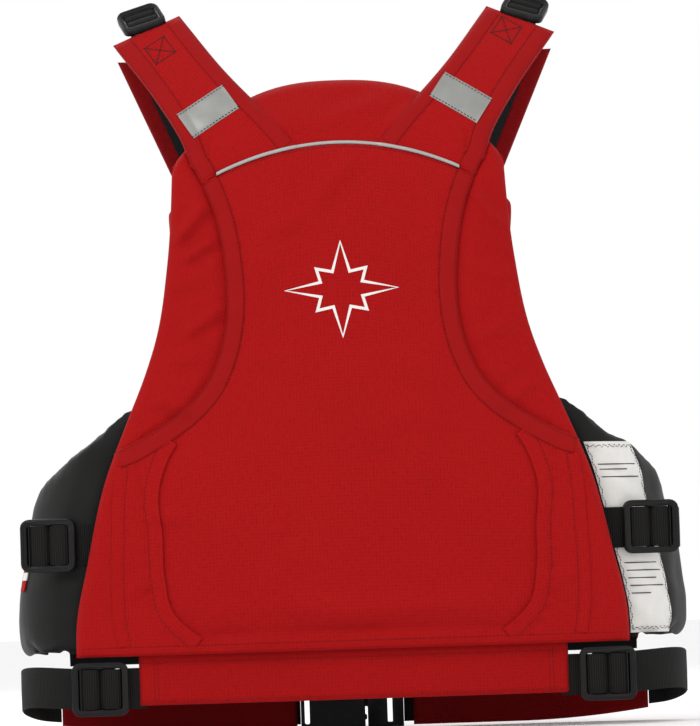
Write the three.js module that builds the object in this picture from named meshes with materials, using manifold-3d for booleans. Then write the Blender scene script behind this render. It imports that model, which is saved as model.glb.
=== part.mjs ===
// Kayaking life jacket with a front zip, side straps and a waist belt.
// Millimetres. +Z runs up to the shoulders and the wearer faces +Y, so the back panel faces -Y.
import * as THREE from 'three';
import { mergeVertices } from 'three/addons/utils/BufferGeometryUtils.js';
import Module from 'manifold-3d';

const wasm = await Module();
wasm.setup();

// ---------------------------------------------------------------- driving sizes
const GAP = 0.3;                 // clearance between touching pieces
const HEIGHT = 560;              // floor to the crest of the shoulders
const HEM_HALF = 217;            // half width of the back panel at its hem
const BACK_Y = -100;             // outer face of the back at its middle
const FRONT_Y = 100;             // outer face of the front at its middle
const BOW = 22;                  // how far both faces curve inwards at x = 200
const HEM_Z = 64;                // bottom of the back panel
const FRONT_HEM_Z = 50;          // bottom of the front panels
const SIDE_HEM_Z = 63;           // bottom of the side panels

const FABRIC = 1.5;              // shell fabric with its seam allowance
const BACK_FOAM = 28;            // foam in the middle of the back
const EDGE_FOAM = 8;             // foam at the side edges of the back
const FOAM_SPLIT_ROW = 6;        // grid row of the fold between the two back foam slabs
const FRONT_FOAM = 34;           // foam in the front panels
const SIDE_FOAM = 18;            // foam in the side panels

const STRAP_PAD = 8;             // padded shoulder strap, full thickness
const STRAP_RUN = 125;           // length of a back strap along its middle
const PIPING = 3;                // width of the reflective piping
const PATCH = 25;                // height of a reflective patch along the strap
const WEB = 32;                  // side and belt webbing width
const SHOULDER_WEB = 25;         // shoulder webbing width
const WEB_THICK = 1.6;           // webbing thickness
const LABEL = 0.8;               // sewn label thickness

const ZIP_HALF_GAP = 3;          // centre line to the free edge of each zip chain
const CHAIN = 3;                 // zip chain width and thickness
const TAPE = 8;                  // visible zip tape width
const ZIP_TOP_Z = 322;           // top of the zip

const SLEEVE_THICK = 7;          // front belt sleeve
const SLEEVE_HIGH = 38;          // height of a belt sleeve
const BELT_Y = 80;               // outer face of the belt at the front
const SLEEVE_IN = 47;            // centre line to the inner end of a front sleeve
const BAND_END = 168;            // half length of the back waistband
const BUCKLE_WIDE = 40;          // side-release buckle height across the belt

// ---------------------------------------------------------------- colours
const RED = { color: 0xa81618, roughness: 0.85, metalness: 0 };
const DARK_RED = { color: 0x7d1214, roughness: 0.85, metalness: 0 };
const BLACK_CLOTH = { color: 0x201e1c, roughness: 0.7, metalness: 0 };
const MESH_CLOTH = { color: 0x3a3a3a, roughness: 0.9, metalness: 0 };
const FOAM = { color: 0xd8d4c4, roughness: 0.95, metalness: 0 };
const WEBBING = { color: 0x161412, roughness: 0.75, metalness: 0 };
const PLASTIC = { color: 0x121212, roughness: 0.4, metalness: 0 };
const SILVER = { color: 0xb8b8b4, roughness: 0.35, metalness: 0 };
const WHITE = { color: 0xe8e6e0, roughness: 0.8, metalness: 0 };

const jacket = new THREE.Group();

/** Adds one named mesh to the jacket. */
function add(name, geometry, finish) {
  const mesh = new THREE.Mesh(geometry, new THREE.MeshStandardMaterial(finish));
  mesh.name = name;
  jacket.add(mesh);
  return mesh;
}

const mix = (a, b, t) => a + (b - a) * t;
const SIDES = [['left', -1], ['right', 1]];

/** Smooth curve through [station, value] pairs, as a function of the station. */
function profile(pairs) {
  const stations = pairs.map((pair) => pair[0]);
  const values = pairs.map((pair) => pair[1]);
  const curve = new THREE.CubicInterpolant(stations, values, 1, new Float64Array(1));
  return (at) => curve.evaluate(THREE.MathUtils.clamp(at, stations[0], stations.at(-1)))[0];
}

/** Signed volume of an indexed closed mesh. */
function signedVolume(geometry) {
  const at = geometry.attributes.position;
  const [a, b, c] = [new THREE.Vector3(), new THREE.Vector3(), new THREE.Vector3()];
  let sum = 0;
  for (let i = 0; i < geometry.index.count; i += 3) {
    a.fromBufferAttribute(at, geometry.index.getX(i));
    b.fromBufferAttribute(at, geometry.index.getX(i + 1));
    c.fromBufferAttribute(at, geometry.index.getX(i + 2));
    sum += a.dot(b.cross(c));
  }
  return sum;
}

/** Closed thin solid between two grids: outer(s, t) and inner(s, t) give [x, y, z] for s, t in 0..1. */
function slab(outer, inner, columns, rows) {
  const points = [];
  const faces = [];
  for (const face of [outer, inner]) {
    for (let j = 0; j <= rows; j++) {
      for (let i = 0; i <= columns; i++) points.push(...face(i / columns, j / rows));
    }
  }
  const wide = columns + 1;
  const back = wide * (rows + 1);
  const quad = (a, b, c, d) => faces.push(a, b, c, a, c, d);
  for (let j = 0; j < rows; j++) {
    for (let i = 0; i < columns; i++) {
      const k = j * wide + i;
      quad(k, k + 1, k + wide + 1, k + wide);
      quad(back + k, back + k + wide, back + k + wide + 1, back + k + 1);
    }
  }
  for (let i = 0; i < columns; i++) {
    const top = rows * wide + i;
    quad(i, back + i, back + i + 1, i + 1);
    quad(top, top + 1, back + top + 1, back + top);
  }
  for (let j = 0; j < rows; j++) {
    const k = j * wide;
    const end = k + columns;
    quad(k, k + wide, back + k + wide, back + k);
    quad(end, back + end, back + end + wide, end + wide);
  }
  const geometry = new THREE.BufferGeometry();
  geometry.setAttribute('position', new THREE.BufferAttribute(new Float32Array(points), 3));
  geometry.setIndex(faces);
  if (signedVolume(geometry) < 0) {
    const flipped = [];
    for (let i = 0; i < faces.length; i += 3) flipped.push(faces[i], faces[i + 2], faces[i + 1]);
    geometry.setIndex(flipped);
  }
  geometry.computeVertexNormals();
  return geometry;
}

/** A three.js geometry as a manifold solid. */
function solid(geometry) {
  const bare = geometry.clone();
  bare.deleteAttribute('normal');
  bare.deleteAttribute('uv');
  const merged = mergeVertices(bare, 1e-4);
  return new wasm.Manifold(new wasm.Mesh({
    numProp: 3,
    vertProperties: new Float32Array(merged.attributes.position.array),
    triVerts: new Uint32Array(merged.index.array),
  }));
}

/** A manifold solid as a three.js geometry. */
function geometryOf(manifold) {
  const mesh = manifold.getMesh();
  const geometry = new THREE.BufferGeometry();
  geometry.setAttribute('position', new THREE.BufferAttribute(new Float32Array(mesh.vertProperties), 3));
  geometry.setIndex(Array.from(mesh.triVerts));
  geometry.computeVertexNormals();
  return geometry;
}

/** Box between two corners. */
function box(low, high) {
  const size = high.map((value, i) => value - low[i]);
  const shape = new THREE.BoxGeometry(...size);
  return shape.translate(...high.map((value, i) => (value + low[i]) / 2));
}

// ---------------------------------------------------------------- the faces of the vest
const NECK_Z = 443;              // where the back panel starts to round over to the neck
const NECK_RISE = 64;            // height of the neck edge above that
const LEAN_Z = 400;              // the back leans forward above this
const LEAN = 80;                 // how far it has leaned at the crest
const FRONT_LEAN_Z = 380;
const FRONT_LEAN = 75;

/** y of the back's outer face. */
function backY(x, z) {
  const rise = Math.max(0, z - LEAN_Z) / (HEIGHT - LEAN_Z);
  return BACK_Y + BOW * (x / 200) ** 2 + LEAN * rise ** 2;
}

/** y of the front's outer face. */
function frontY(x, z) {
  const rise = Math.max(0, z - FRONT_LEAN_Z) / (HEIGHT - FRONT_LEAN_Z);
  return FRONT_Y - BOW * (x / 200) ** 2 - FRONT_LEAN * rise ** 2;
}

const backEdge = profile([[HEM_Z, 1], [90, 0.995], [136, 0.95], [203, 0.873], [246, 0.792], [283, 0.72],
  [310, 0.677], [368, 0.627], [NECK_Z, 0.6], [520, 0.6]]);
const overlayEdge = profile([[222, 0.85], [235, 0.73], [247, 0.636], [261, 0.552], [275, 0.497], [293, 0.456],
  [318, 0.426], [368, 0.422], [397, 0.442], [421, 0.475], [444, 0.521], [470, 0.58]]);
const frontEdge = profile([[FRONT_HEM_Z, 1.088], [120, 1.088], [150, 1.074], [180, 1.04], [205, 0.977],
  [235, 0.87], [262, 0.775], [308, 0.696], [368, 0.65], [430, 0.63]]);

/** Half width of the back panel. */
const backHalf = (z) => HEM_HALF * backEdge(z);
/** Half width of the front panels. */
const frontHalf = (z) => HEM_HALF * frontEdge(z);
/** Top of the back panel at a share s of its half width. */
const neckZ = (s) => NECK_Z + NECK_RISE * (1 - Math.abs(s) ** 2.6);
/** Foam thickness of the back at a share s of its half width. */
const backFoam = (s) => mix(BACK_FOAM, EDGE_FOAM, s ** 4);

const OVERLAY_IN = FABRIC;
const COVER_OUT = OVERLAY_IN + 2 * GAP;
const COVER_IN = COVER_OUT + FABRIC;
const FOAM_OUT = COVER_IN + GAP;

const BACK_ROWS = 16;            // grid rows from the hem to the neck, shared by every layer

/** One layer of the back panel between two depths and two grid rows; s runs from -1 to 1. */
function backLayer(near, far, rowLow, rowHigh, shift) {
  const place = (depth) => (a, t) => {
    const s = 2 * a - 1;
    const row = mix(rowLow, rowHigh, t) / BACK_ROWS;
    const z = mix(HEM_Z, neckZ(s), row) + (t === 0 ? shift : 0);
    const x = s * backHalf(z);
    return [x, backY(x, z) + depth(s), z];
  };
  return slab(place(near), place(far), 14, rowHigh - rowLow);
}

const liningOut = (s) => FOAM_OUT + backFoam(s) + GAP;
const liningIn = (s) => liningOut(s) + FABRIC;

const foamIn = (s) => FOAM_OUT + backFoam(s);

add('back_cover', backLayer(() => COVER_OUT, () => COVER_IN, 0, BACK_ROWS, 0), RED);
add('back_foam_lower', backLayer(() => FOAM_OUT, foamIn, 0, FOAM_SPLIT_ROW, 0), FOAM);
add('back_foam_upper', backLayer(() => FOAM_OUT, foamIn, FOAM_SPLIT_ROW, BACK_ROWS, 2 * GAP), FOAM);
add('back_lining', backLayer(liningOut, liningIn, 0, BACK_ROWS, 0), MESH_CLOTH);

// ---------------------------------------------------------------- hourglass overlay and its piping
const ARC_Z = 459;               // middle of the piping arc
const ARC_DROP = 22;             // how far the arc has dropped at its ends
const ARC_HALF = 95;             // half length of the piping

/** Top edge of the overlay: the lower side of the piping arc. */
const arcZ = (x) => ARC_Z - ARC_DROP * (x / ARC_HALF) ** 2;

const overlayHalf = (z) => (z < 222 ? backHalf(z) : HEM_HALF * overlayEdge(z));

/** One face of the overlay at a depth behind the back's outer face. */
function overlayFace(depth) {
  return (a, t) => {
    const s = 2 * a - 1;
    const topHalf = 112;
    const top = arcZ(s * topHalf);
    const z = mix(HEM_Z, top, t);
    const x = s * Math.min(overlayHalf(z), z > ARC_Z - ARC_DROP ? topHalf : Infinity);
    return [x, backY(x, z) + depth, z];
  };
}
add('back_overlay', slab(overlayFace(0), overlayFace(OVERLAY_IN), 14, 22), RED);

/** One face of the piping at a depth behind the back's outer face. */
function pipingFace(depth) {
  return (a, t) => {
    const x = (2 * a - 1) * ARC_HALF;
    const z = arcZ(x) + GAP + PIPING * t;
    return [x, backY(x, z) + depth, z];
  };
}
add('reflective_piping', slab(pipingFace(-1), pipingFace(OVERLAY_IN), 20, 1), SILVER);

// ---------------------------------------------------------------- shoulder straps
const STRAP_OUT = profile([[0, 113], [0.25, 127], [0.6, 148], [1, 173]]);
const STRAP_OUT_Z = profile([[0, 441], [0.25, 470], [0.6, 502], [1, 543]]);
const STRAP_INNER = profile([[0, 31], [0.3, 62], [0.6, 86], [1, 122]]);
const STRAP_INNER_Z = profile([[0, 464], [0.3, 494], [0.6, 520], [1, 560]]);
const PATCH_AT = 0.36;           // middle of the reflective patch along the strap

/** Point of the back strap: s runs from its inner to its outer edge, t from the piping to the shoulder. */
function strapPoint(side, s, t, depth) {
  const clear = t < 0.01 ? arcZ(mix(STRAP_INNER(0), STRAP_OUT(0), s)) + 2 * GAP + PIPING : 0;
  const x = mix(STRAP_INNER(t), STRAP_OUT(t), s);
  const z = Math.max(clear, mix(STRAP_INNER_Z(t), STRAP_OUT_Z(t), s));
  return [side * x, backY(x, z) + depth, z];
}

/** Depth of the strap's outer face, thin where it is sewn over the back panel. */
const strapRise = (t) => -(STRAP_PAD - OVERLAY_IN) * Math.min(1, t / 0.2);

for (const [word, side] of SIDES) {
  add(`back_strap_${word}`, slab((s, t) => strapPoint(side, s, t, strapRise(t)),
    (s, t) => strapPoint(side, s, t, OVERLAY_IN), 8, 16), RED);
  const patchFace = (lift) => (s, t) => {
    const along = PATCH_AT + (t - 0.5) * PATCH / STRAP_RUN;
    return strapPoint(side, mix(0.02, 0.98, s), along, strapRise(along) - lift);
  };
  add(`reflective_patch_${word}`, slab(patchFace(GAP + 0.6), patchFace(GAP), 6, 4), SILVER);
}

// ---------------------------------------------------------------- front panels
const FRONT_IN = ZIP_HALF_GAP + CHAIN + TAPE;    // centre line to the panel's zip edge
const V_Z = 330;                                 // bottom of the V neck
const FRONT_TOP_Z = 430;
const STRAP_BASE_IN = 76;

/** Zip and V neck edge of a front panel. */
function frontInner(z) {
  const rise = Math.max(0, z - V_Z) / (FRONT_TOP_Z - V_Z);
  return FRONT_IN + (STRAP_BASE_IN - FRONT_IN) * rise ** 1.2;
}

/** One layer of a front panel between two depths. */
function frontLayer(side, near, far) {
  const place = (depth) => (s, t) => {
    const z = mix(FRONT_HEM_Z, FRONT_TOP_Z, t);
    const x = mix(frontInner(z), frontHalf(z), s);
    return [side * x, frontY(x, z) - depth, z];
  };
  return slab(place(near), place(far), 8, 13);
}

const FRONT_FOAM_OUT = FABRIC + GAP;
const FRONT_FOAM_IN = FRONT_FOAM_OUT + FRONT_FOAM;
const FRONT_LINING_OUT = FRONT_FOAM_IN + GAP;
const FRONT_LINING_IN = FRONT_LINING_OUT + FABRIC;
const FRONT_STRAP_Z = 540;       // top end of the padded front strap

for (const [word, side] of SIDES) {
  add(`front_cover_${word}`, frontLayer(side, 0, FABRIC), RED);
  add(`front_foam_${word}`, frontLayer(side, FRONT_FOAM_OUT, FRONT_FOAM_IN), FOAM);
  add(`front_lining_${word}`, frontLayer(side, FRONT_LINING_OUT, FRONT_LINING_IN), MESH_CLOTH);
  const frontStrap = (depth) => (s, t) => {
    const z = mix(FRONT_TOP_Z + GAP, FRONT_STRAP_Z, t);
    const x = mix(mix(STRAP_BASE_IN, 122, t), mix(frontHalf(FRONT_TOP_Z), 174, t), s);
    return [side * x, frontY(x, z) - depth, z];
  };
  add(`front_strap_${word}`, slab(frontStrap(0), frontStrap(STRAP_PAD), 5, 12), DARK_RED);
}

// ---------------------------------------------------------------- side panels
const TUCK = 12;                 // how far a side panel reaches behind the back panel
const SIDE_BULGE = 48;           // how far it stands out between back and front
const SIDE_TOP_BACK = 262;       // armhole edge at the back
const SIDE_TOP_FRONT = 176;      // armhole edge at the front

/** Outer point of a side panel in plan, at height z; depth goes inwards, s from back to front. */
function sidePoint(side, s, z, depth) {
  const backX = backHalf(z) - TUCK;
  const frontX = frontHalf(Math.min(z, SIDE_TOP_FRONT)) + GAP;
  const inner = liningIn(backX / backHalf(z));
  const backEnd = backY(backX, z) + inner + LABEL + WEB_THICK + 5 * GAP;
  const frontEnd = frontY(frontX, z) - 3;
  const turn = Math.PI * s;
  const x = mix(backX, frontX, s) + SIDE_BULGE * Math.sin(turn) - depth * Math.sin(turn);
  const y = mix(backEnd, frontEnd, (1 - Math.cos(turn)) / 2) + depth * Math.cos(turn);
  return [side * x, y, z];
}

/** Armhole edge of a side panel. */
const sideTop = (s) => SIDE_TOP_FRONT + (SIDE_TOP_BACK - SIDE_TOP_FRONT) * (1 - s) ** 2.2;

/** One layer of a side panel between two depths. */
function sideLayer(side, near, far) {
  const place = (depth) => (s, t) => sidePoint(side, s, mix(SIDE_HEM_Z, sideTop(s), t), depth);
  return slab(place(near), place(far), 18, 9);
}

/** A piece of webbing or cloth lying on a side panel. */
function onSide(side, ends, zLow, zHigh, lift, thick) {
  const face = (depth) => (s, t) => sidePoint(side, mix(...ends, s), mix(zLow, zHigh, t), depth);
  const columns = Math.ceil((ends[1] - ends[0]) * 24) + 2;
  return slab(face(-lift - thick), face(-lift), columns, Math.ceil((zHigh - zLow) / 12));
}

for (const [word, side] of SIDES) {
  add(`side_cover_${word}`, sideLayer(side, 0, FABRIC), BLACK_CLOTH);
  add(`side_foam_${word}`, sideLayer(side, FABRIC + GAP, FABRIC + GAP + SIDE_FOAM), FOAM);
}
add('sewn_label', onSide(1, [0.075, 0.24], 70, 215, GAP, LABEL), WHITE);
add('side_tab', onSide(-1, [0.42, 0.48], 118, 134, GAP, LABEL), WHITE);

// ---------------------------------------------------------------- ladder-lock buckles
const LOCK_THICK = 7;            // ladder-lock, front to back
const LOCK_RIM = 5;              // its outer frame
const LOCK_BAR = 4;              // its middle bar
const LOCK_HIGH = 44;            // along the webbing
const LOCK_CLEAR = 0.8;          // play between a buckle and the webbing under it
const CREST_CLEAR = 1.2;         // play between a shoulder adjuster and the webbing it rides on

/** Ladder-lock with two slots: lies in XZ, its back face on y = 0, anchor bar's middle at the origin. */
function ladderLock(wide, long) {
  const body = solid(box([-LOCK_RIM / 2, -LOCK_THICK, -wide / 2 - LOCK_RIM],
    [long - LOCK_RIM / 2, 0, wide / 2 + LOCK_RIM]));
  const middle = long / 2 - LOCK_RIM / 2;
  let lock = body;
  for (const [from, to] of [[LOCK_RIM / 2, middle - LOCK_BAR / 2],
    [middle + LOCK_BAR / 2, long - 3 * LOCK_RIM / 2]]) {
    lock = lock.subtract(solid(box([from, -LOCK_THICK - 1, -wide / 2], [to, 1, wide / 2])));
  }
  const lip = solid(box([long - LOCK_RIM, -LOCK_THICK - 3, -wide / 2 - LOCK_RIM],
    [long - LOCK_RIM / 2, -LOCK_THICK + 1, wide / 2 + LOCK_RIM]));
  return geometryOf(lock.add(lip));
}

/** Adds a ladder-lock whose length runs away from the anchor point, turned about Z. */
function addLock(name, side, at, wide, turn) {
  const geometry = ladderLock(wide, LOCK_HIGH);
  if (side < 0) geometry.rotateY(Math.PI);
  const mesh = add(name, geometry, PLASTIC);
  mesh.position.set(...at);
  mesh.rotation.z = side * turn;
  return mesh;
}

// upper side straps, on the side panels
const UPPER_Z = 153;
const LOCK_X = 217;              // anchor bar of the upper side buckles
const LOCK_TURN = THREE.MathUtils.degToRad(16);

for (const [word, side] of SIDES) {
  const lift = GAP + (side > 0 ? LABEL + GAP : 0);
  add(`side_anchor_webbing_${word}`, onSide(side, [0.03, 0.13], UPPER_Z - WEB / 2,
    UPPER_Z + WEB / 2, lift, WEB_THICK), WEBBING);
  const [, y] = sidePoint(1, 0.1, UPPER_Z, -lift - WEB_THICK);
  addLock(`side_buckle_${word}`, side, [side * LOCK_X, y + 1, UPPER_Z], WEB, LOCK_TURN);
  add(`side_strap_webbing_${word}`, onSide(side, [0.34, 0.96], UPPER_Z - WEB / 2,
    UPPER_Z + WEB / 2, GAP, WEB_THICK), WEBBING);
}


// ---------------------------------------------------------------- shoulder adjusters
const CREST_X = 149;             // middle of the shoulder webbing
const CREST_Y = 8;               // the webbing turns over here
const CREST_Z = 562;
const SHOULDER_LOCK_LONG = 34;

/** Top end of the back strap at x. */
function strapEnd(x) {
  const share = (x - STRAP_INNER(1)) / (STRAP_OUT(1) - STRAP_INNER(1));
  const z = mix(STRAP_INNER_Z(1), STRAP_OUT_Z(1), share);
  return [backY(x, z), z + GAP];
}

// the webbing starts at the height of the strap's end under the webbing's inner edge
const [END_Y, END_Z] = strapEnd(CREST_X - SHOULDER_WEB / 2);
const FRONT_END_Y = frontY(CREST_X, FRONT_STRAP_Z) - STRAP_PAD / 2;
const crestPath = new THREE.CatmullRomCurve3([
  [END_Y, END_Z],
  [mix(END_Y, CREST_Y, 0.5), mix(END_Z, CREST_Z, 0.5)],
  [CREST_Y, CREST_Z],
  [mix(CREST_Y, FRONT_END_Y, 0.6), mix(CREST_Z, FRONT_STRAP_Z, 0.45)],
  [FRONT_END_Y, FRONT_STRAP_Z + GAP]].map(([y, z]) => new THREE.Vector3(0, y, z)), false, 'centripetal');

/** Point of the shoulder webbing; s runs across it, t from the back strap to the front strap. */
function crestPoint(side, s, t, lift) {
  const at = crestPath.getPoint(t);
  const along = crestPath.getTangent(t);
  const x = CREST_X + (s - 0.5) * SHOULDER_WEB;
  return [side * x, at.y - along.z * lift, at.z + along.y * lift];
}

const LOCK_AT = 10;              // anchor bar of a shoulder adjuster above the strap's end

for (const [word, side] of SIDES) {
  add(`shoulder_webbing_${word}`, slab((s, t) => crestPoint(side, s, t, WEB_THICK),
    (s, t) => crestPoint(side, s, t, 0), 2, 14), WEBBING);
  const along = new THREE.Vector3(0, CREST_Y - END_Y, CREST_Z - END_Z).normalize();
  const inwards = new THREE.Vector3(0, along.z, -along.y);
  const lock = add(`shoulder_adjuster_${word}`, ladderLock(SHOULDER_WEB, SHOULDER_LOCK_LONG), PLASTIC);
  const turn = new THREE.Matrix4().makeBasis(along, inwards, new THREE.Vector3(-1, 0, 0));
  lock.setRotationFromMatrix(turn);
  lock.position.set(side * CREST_X, END_Y, END_Z).addScaledVector(along, LOCK_AT)
    .addScaledVector(inwards, -WEB_THICK - CREST_CLEAR);
}

// ---------------------------------------------------------------- waist belt
const BELT_Z = 20;               // middle height of the belt at the front
const BELT_BACK_Z = 39;          // middle height of the belt at the back
const BAND_DEEP = 10;            // the waistband lies this far behind the back's outer face
const BAND_THICK = 5;
const SLEEVE_OUT_X = 236;        // outer end of a front sleeve
const SLEEVE_RISE = 8;           // how far its outer end has risen
const SLEEVE_FLAT_X = 130;       // the sleeve is straight up to here
const SLEEVE_FALL = 14;          // how far its outer end has curved inwards
const POCKET_END_X = 96;         // webbing pocket inside the sleeve's inner end
const LOWER_LOCK_X = 179;        // anchor bar of a lower belt buckle

const bandY = (x) => backY(x, HEM_Z) + BAND_DEEP;
const bandFace = (depth) => (a, t) => {
  const x = (2 * a - 1) * BAND_END;
  return [x, bandY(x) + depth, mix(BELT_BACK_Z - SLEEVE_HIGH / 2 + 5, HEM_Z - GAP, t)];
};
add('back_waistband', slab(bandFace(0), bandFace(BAND_THICK), 16, 1), RED);

/** One face of a front sleeve. */
function sleeveFace(side, depth) {
  return (s, t) => {
    const x = mix(SLEEVE_IN, SLEEVE_OUT_X, s);
    const out = Math.max(0, x - SLEEVE_FLAT_X) / (SLEEVE_OUT_X - SLEEVE_FLAT_X);
    const z = BELT_Z + (t - 0.5) * SLEEVE_HIGH + SLEEVE_RISE * out ** 2;
    return [side * x, BELT_Y - SLEEVE_FALL * out ** 2 - depth, z];
  };
}

const WEB_MID_Y = BELT_Y - SLEEVE_THICK / 2;
const POCKET_HALF = WEB_THICK / 2 + 0.4;

/** Flat strip of webbing across the front between two x. */
function frontWebbing(from, to) {
  return box([from, WEB_MID_Y - WEB_THICK / 2, BELT_Z - WEB / 2], [to, WEB_MID_Y + WEB_THICK / 2, BELT_Z + WEB / 2]);
}

for (const [word, side] of SIDES) {
  const pocket = box([Math.min(side * (SLEEVE_IN - 1), side * POCKET_END_X), WEB_MID_Y - POCKET_HALF,
    BELT_Z - WEB / 2 - 1], [Math.max(side * (SLEEVE_IN - 1), side * POCKET_END_X),
    WEB_MID_Y + POCKET_HALF, BELT_Z + WEB / 2 + 1]);
  const sleeve = slab(sleeveFace(side, 0), sleeveFace(side, SLEEVE_THICK), 12, 1);
  add(`belt_sleeve_${word}`, geometryOf(solid(sleeve).subtract(solid(pocket))), DARK_RED);

  // webbing from the back waistband under the lower buckle
  const anchorY = bandY(BAND_END) + BAND_THICK / 2;
  const anchor = (depth) => (s, t) => [side * mix(BAND_END + GAP, LOWER_LOCK_X + 3, s),
    anchorY + depth, BELT_BACK_Z + (t - 0.5) * WEB];
  add(`belt_anchor_webbing_${word}`, slab(anchor(0), anchor(WEB_THICK), 1, 1), WEBBING);
  addLock(`belt_ladder_lock_${word}`, side, [side * LOWER_LOCK_X, anchorY - LOCK_CLEAR, BELT_BACK_Z], WEB, 0);

  // webbing from under that buckle round the side to the front sleeve
  const sleeveEndY = BELT_Y - SLEEVE_FALL - SLEEVE_THICK / 2;
  const start = LOWER_LOCK_X + 3.5;
  const path = new THREE.CatmullRomCurve3([[start, anchorY + GAP], [start + 16, anchorY + GAP],
    [start + 34, anchorY + 5], [250, -38], [263, 0],
    [258, 38], [SLEEVE_OUT_X + 9, sleeveEndY - 2], [SLEEVE_OUT_X + 2 * GAP, sleeveEndY]].map(([x, y]) => new THREE.Vector3(x, y, 0)), false, 'centripetal');
  const ring = (lift) => (s, t) => {
    const at = path.getPoint(s);
    const along = path.getTangent(s).setZ(0).normalize();
    const z = mix(BELT_BACK_Z, BELT_Z + SLEEVE_RISE, s ** 1.5) + (t - 0.5) * WEB;
    return [side * (at.x + along.y * lift), at.y - along.x * lift, z];
  };
  add(`belt_webbing_${word}`, slab(ring(0), ring(-WEB_THICK), 22, 1), WEBBING);
}

// ---------------------------------------------------------------- side-release buckle
const CLIP_THICK = 12;           // housing, front to back
const CLIP_WALL = 2.8;
const FEMALE_X = [-44, 8];
const MALE_X = [10, 39];
const PRONG_THICK = 5;
const PRONG_TIP_X = -24;
const PRONG_Z = 11.5;            // middle of a latch arm from the buckle's middle
const PRONG_HIGH = 4.5;
const clipBox = (x0, x1, yHalf, z0, z1) => solid(box([x0, WEB_MID_Y - yHalf, BELT_Z + z0],
  [x1, WEB_MID_Y + yHalf, BELT_Z + z1]));

const cavity = CLIP_THICK / 2 - CLIP_WALL;
const half = BUCKLE_WIDE / 2;
const female = clipBox(...FEMALE_X, CLIP_THICK / 2, -half, half)
  .subtract(clipBox(FEMALE_X[0] + 10, FEMALE_X[1] + 1, cavity, -half + 4, half - 4))
  .subtract(clipBox(-27, -12, cavity, -half - 1, half + 1))
  .subtract(clipBox(FEMALE_X[0] + 3, FEMALE_X[0] + 7, CLIP_THICK, -half + 4, half - 4));
add('belt_buckle_female', geometryOf(female), PLASTIC);
add('belt_buckle_webbing_left', frontWebbing(-POCKET_END_X + 2, FEMALE_X[0] - GAP), WEBBING);

const male = clipBox(MALE_X[0], MALE_X[1], CLIP_THICK / 2, -half, half)
  .subtract(clipBox(MALE_X[1] - 13, MALE_X[1] - 9, CLIP_THICK, -half + 4, half - 4))
  .add(clipBox(PRONG_TIP_X - 4, MALE_X[0] + 1, PRONG_THICK / 2, -3, 3));
add('belt_buckle_male', geometryOf(male), PLASTIC);
add('belt_buckle_webbing_right', frontWebbing(MALE_X[1] + GAP, POCKET_END_X - 2), WEBBING);

for (const [word, up] of [['lower', -1], ['upper', 1]]) {
  const arm = clipBox(PRONG_TIP_X, MALE_X[0] - 2 * GAP, PRONG_THICK / 2, up * PRONG_Z - PRONG_HIGH / 2,
    up * PRONG_Z + PRONG_HIGH / 2);
  add(`belt_buckle_arm_${word}`, geometryOf(arm), PLASTIC);
}

// ---------------------------------------------------------------- front zip, undone
const ZIP_Y = FRONT_Y - 3.5;     // middle plane of the zip
const ZIP_BOTTOM_Z = FRONT_HEM_Z + 2;
const SLIDER_Z = 92;             // bottom of the slider
const SLIDER_LONG = 14;
const SLIDER_HALF_Y = 4;
const LUG = 5;                   // slider lug that carries the pull
const PULL_LONG = 28;

for (const [word, side] of SIDES) {
  const across = (from, to) => [Math.min(side * from, side * to), Math.max(side * from, side * to)];
  const [chain0, chain1] = across(ZIP_HALF_GAP, ZIP_HALF_GAP + CHAIN - GAP);
  const [tape0, tape1] = across(ZIP_HALF_GAP + CHAIN, FRONT_IN - GAP);
  add(`zip_chain_${word}`, box([chain0, ZIP_Y - CHAIN / 2, ZIP_BOTTOM_Z], [chain1, ZIP_Y + CHAIN / 2, ZIP_TOP_Z]),
    PLASTIC);
  add(`zip_tape_${word}`, box([tape0, ZIP_Y - 0.5, ZIP_BOTTOM_Z], [tape1, ZIP_Y + 0.5, ZIP_TOP_Z]), BLACK_CLOTH);
}

const channelHalf = CHAIN / 2 + 0.4;
const sliderBody = solid(box([-10.5, ZIP_Y - SLIDER_HALF_Y, SLIDER_Z], [-0.9, ZIP_Y + SLIDER_HALF_Y,
  SLIDER_Z + SLIDER_LONG]))
  .subtract(solid(box([-12, ZIP_Y - channelHalf, SLIDER_Z - 1], [-ZIP_HALF_GAP + 0.5, ZIP_Y + channelHalf,
    SLIDER_Z + SLIDER_LONG + 1])))
  .add(solid(box([-8, ZIP_Y + SLIDER_HALF_Y - 0.5, SLIDER_Z + 5],
    [-3.4, ZIP_Y + SLIDER_HALF_Y + 3, SLIDER_Z + 5 + LUG])));
add('zip_slider', geometryOf(sliderBody), PLASTIC);

const PULL_TOP_Z = SLIDER_Z + 5 - 2 * GAP;
const PULL_Y = ZIP_Y + SLIDER_HALF_Y + 1.5;
add('zip_pull', box([-9, PULL_Y - 0.8, PULL_TOP_Z - PULL_LONG], [-2.4, PULL_Y + 0.8, PULL_TOP_Z]), PLASTIC);

// the whole jacket stands centred on the origin
const FRONTMOST_Y = ZIP_Y + SLIDER_HALF_Y + 3;
jacket.position.y = -(BACK_Y + FRONTMOST_Y) / 2;

export default jacket;
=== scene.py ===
"""Paddling life jacket: soft goods, webbing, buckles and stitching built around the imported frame."""
from __future__ import annotations

import logging
import math
from dataclasses import dataclass, field
from enum import Enum
from typing import Callable, Iterable, Sequence

import bmesh
import bpy
import numpy as np
from mathutils import Matrix, Vector
from mathutils.bvhtree import BVHTree

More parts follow.
